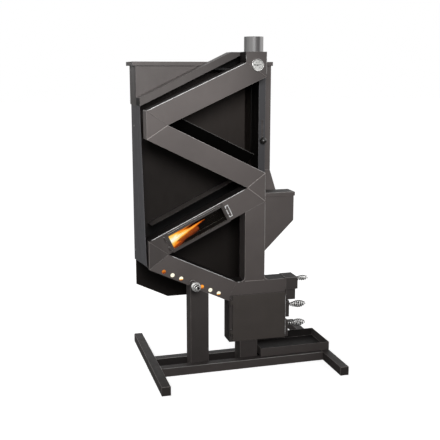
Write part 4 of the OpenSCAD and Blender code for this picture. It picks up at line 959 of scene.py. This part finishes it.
# bright strips on edges, partly worn paint and partly painted highlight: their radii, how finely they are
# drawn, how deep they lie in the metal as a share of their radius, and how far they stay clear of a corner;
# where the feed tube's edge starts over the level tube, the door's front plane, and the front edges of the
# window's frame
EDGE_R, THIN_EDGE_R, RAIL_EDGE_R, FRAME_EDGE_R = 0.0014, 0.0011, 0.0013, 0.0016
EDGE_STEP, EDGE_SIDES, EDGE_SINK = 0.02, 12, 1.05
CLEAR = 0.002
FEED_UP = 0.016
DOOR_FRONT = -0.110
FRAME_HALF, FRAME_Y, FRAME_W = 0.1385, -0.1135, 0.041
RIGHT_EDGE, LEFT_EDGE, TOP_EDGE = (-1, 1, 0), (1, 1, 0), (0, 1, -1)


def worn_highlight_edge(name, start, end, inward, mat="shine", radius=EDGE_R, body="stove"):
    """A bright strip along an edge from start to end, partly worn paint and partly painted highlight; inward
    points from the edge into the metal.
    """
    inner = Vector(inward).normalized() * radius * EDGE_SINK
    count = max(2, round((end - start).length / EDGE_STEP))
    points = [start.lerp(end, i / count) + inner for i in range(count + 1)]
    tube(name, points, radius, EDGE_SIDES, mat, body)


def upright_edge(name, x, low, high, inward=RIGHT_EDGE, y=FRONT, **look):
    """A bright edge strip, partly worn paint and partly painted highlight, that stays clear of the corners at
    both its ends.
    """
    worn_highlight_edge(name, at(x, low + CLEAR, y), at(x, high - CLEAR, y), inward, **look)


def below(degrees):
    """Points into a tube from its top front edge, whose run rises by the angle."""
    return sin(degrees), 1, -cos(degrees)


for rail in ("rail_front", "rail_back"):
    lo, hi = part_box(rail)
    worn_highlight_edge("edge_" + rail, at(lo.x, hi.z, lo.y), at(hi.x, hi.z, lo.y), TOP_EDGE, "sheen", RAIL_EDGE_R)
door_lo, door_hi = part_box("burner_door")
corner_lo, corner_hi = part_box("corner_right")
flue_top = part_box("flue_box")[1].z
feed_foot_left, feed_foot_right = left_foot[0], right_foot[-1]
worn_highlight_edge("edge_run_1", on(run1_top, LEFT + CLEAR), on(run1_top, FEED_LEFT - CLEAR), below(SLOPE_1))
worn_highlight_edge("edge_run_3", on(run3_top, LEFT + 2 * CLEAR), on(run3_top, inner2[0] - 2 * CLEAR), below(SLOPE_3))
worn_highlight_edge("edge_run_4", on(run4_top, inner3[0] + 3 * CLEAR), at(kink, LEVEL_TOP), below(-SLOPE_4))
worn_highlight_edge("edge_level", at(kink, LEVEL_TOP), at(feed_foot_left.x, LEVEL_TOP), TOP_EDGE)
worn_highlight_edge("edge_level_right", at(feed_foot_right.x, LEVEL_TOP), at(door_hi.x - CLEAR, LEVEL_TOP), TOP_EDGE,
          "sheen", THIN_EDGE_R)
upright_edge("edge_corner_right", RIGHT, corner_lo.z, corner_hi.z, mat="sheen")
upright_edge("edge_feed_tube", RIGHT, LEVEL_TOP + FEED_UP, corner_lo.z, mat="sheen", radius=THIN_EDGE_R)
upright_edge("edge_flue_box_right", RIGHT, run1_foot(RIGHT), flue_top, mat="sheen", radius=THIN_EDGE_R)
upright_edge("edge_flue_box_left", FEED_LEFT, run1_top(FEED_LEFT), flue_top, LEFT_EDGE, mat="sheen")
upright_edge("edge_door", door_hi.x, door_lo.z, door_hi.z, y=DOOR_FRONT, radius=RAIL_EDGE_R, body="door")
worn_highlight_edge("edge_window_top", at_window(0.001 - FRAME_HALF, FRAME_Y, FRAME_W + 0.001),
          at_window(FRAME_HALF - 0.001, FRAME_Y, FRAME_W + 0.001), below(SLOPE_3), body="window")
worn_highlight_edge("edge_window_right", at_window(FRAME_HALF, FRAME_Y, -FRAME_W),
          at_window(FRAME_HALF, FRAME_Y, FRAME_W), (-cos(SLOPE_3), 1, -sin(SLOPE_3)),
          radius=FRAME_EDGE_R, body="window")

# floor, backdrop and lights; the floor melts into the backdrop between two distances
FLOOR_SIDE, FLOOR_Z = 60, -0.0003
MELT_FROM, MELT_TO = 0.6, 1.5


def floor_pale(colour, glow):
    """Takes shadows near the stove, melts into white further off, and throws back little light."""
    n = Nodes("floor_pale")
    tone = n.patches(n.noise(0.8, 2.0, 0.5), colour, scaled(colour, 1.01))
    seen = n.add("ShaderNodeLightPath").outputs["Is Camera Ray"]
    surface = n.shader("BsdfDiffuse", Color=n.mix(seen, scaled(colour, 0.25), tone))
    far = n.add("ShaderNodeVectorMath", operation="LENGTH")
    n.put(n.coord.outputs["Object"], far.inputs[0])
    strength = n.times(seen, n.span(far.outputs["Value"], MELT_FROM, MELT_TO, glow, 1.0))
    light = n.shader("Emission", Strength=strength)
    total = n.add("ShaderNodeAddShader")
    n.put(surface, total.inputs[0])
    n.put(light, total.inputs[1])
    return n.show(total.outputs["Shader"])


floor_mesh = bpy.data.meshes.new("floor")
square = ((-0.5, -0.5), (0.5, -0.5), (0.5, 0.5), (-0.5, 0.5))
corners = [(x * FLOOR_SIDE, y * FLOOR_SIDE, FLOOR_Z) for x, y in square]
floor_mesh.from_pydata(corners, [], [(0, 1, 2, 3)])
floor_mesh.materials.append(floor_pale((0.72, 0.72, 0.72), 0.80))
floor = bpy.data.objects.new("floor", floor_mesh)
scene.collection.objects.link(floor)

world = bpy.data.worlds.new("studio")
scene.world = world
world.use_nodes = True
tree = world.node_tree
tree.nodes.clear()
path = tree.nodes.new("ShaderNodeLightPath")


def background(colour, strength):
    node = tree.nodes.new("ShaderNodeBackground")
    node.inputs["Color"].default_value = (*colour, 1)
    node.inputs["Strength"].default_value = strength
    return node.outputs["Background"]


def by_ray(kind, others, these):
    """The second background for one kind of ray, and the first for all others."""
    node = tree.nodes.new("ShaderNodeMixShader")
    for output, socket in zip((path.outputs[kind], others, these), node.inputs):
        tree.links.new(output, socket)
    return node.outputs["Shader"]


room = by_ray("Is Glossy Ray", background((0.98, 0.99, 1.0), 0.05), background((1, 1, 1), 0.75))
shown = by_ray("Is Camera Ray", room, background((1, 1, 1), 1.0))
tree.links.new(shown, tree.nodes.new("ShaderNodeOutputWorld").inputs["Surface"])


def area(name, place, target, size, power, spread=180):
    data = bpy.data.lights.new(name, "AREA")
    data.shape = "RECTANGLE"
    data.size, data.size_y = size
    data.energy = power
    data.spread = math.radians(spread)
    lamp = bpy.data.objects.new(name, data)
    lamp.location = place
    lamp.rotation_euler = (Vector(target) - Vector(place)).to_track_quat("-Z", "Y").to_euler()
    scene.collection.objects.link(lamp)


area("key", (-0.65, -3.1, 1.95), (-0.28, 0.0, 1.30), (1.3, 0.9), 12.6, spread=64)
area("front_fill", (0.9, -3.4, 1.2), (0.0, 0.0, 0.7), (1.6, 2.0), 3)
area("top", (-0.1, 0.5, 3.2), (-0.05, 0.1, 1.0), (1.6, 1.6), 9)
area("rim_right", (2.2, -0.3, 1.8), (0.1, 0.0, 0.9), (0.8, 1.8), 8)
area("rim_left", (-2.5, 0.45, 1.7), (-0.4, 0.05, 0.62), (0.9, 1.6), 21)
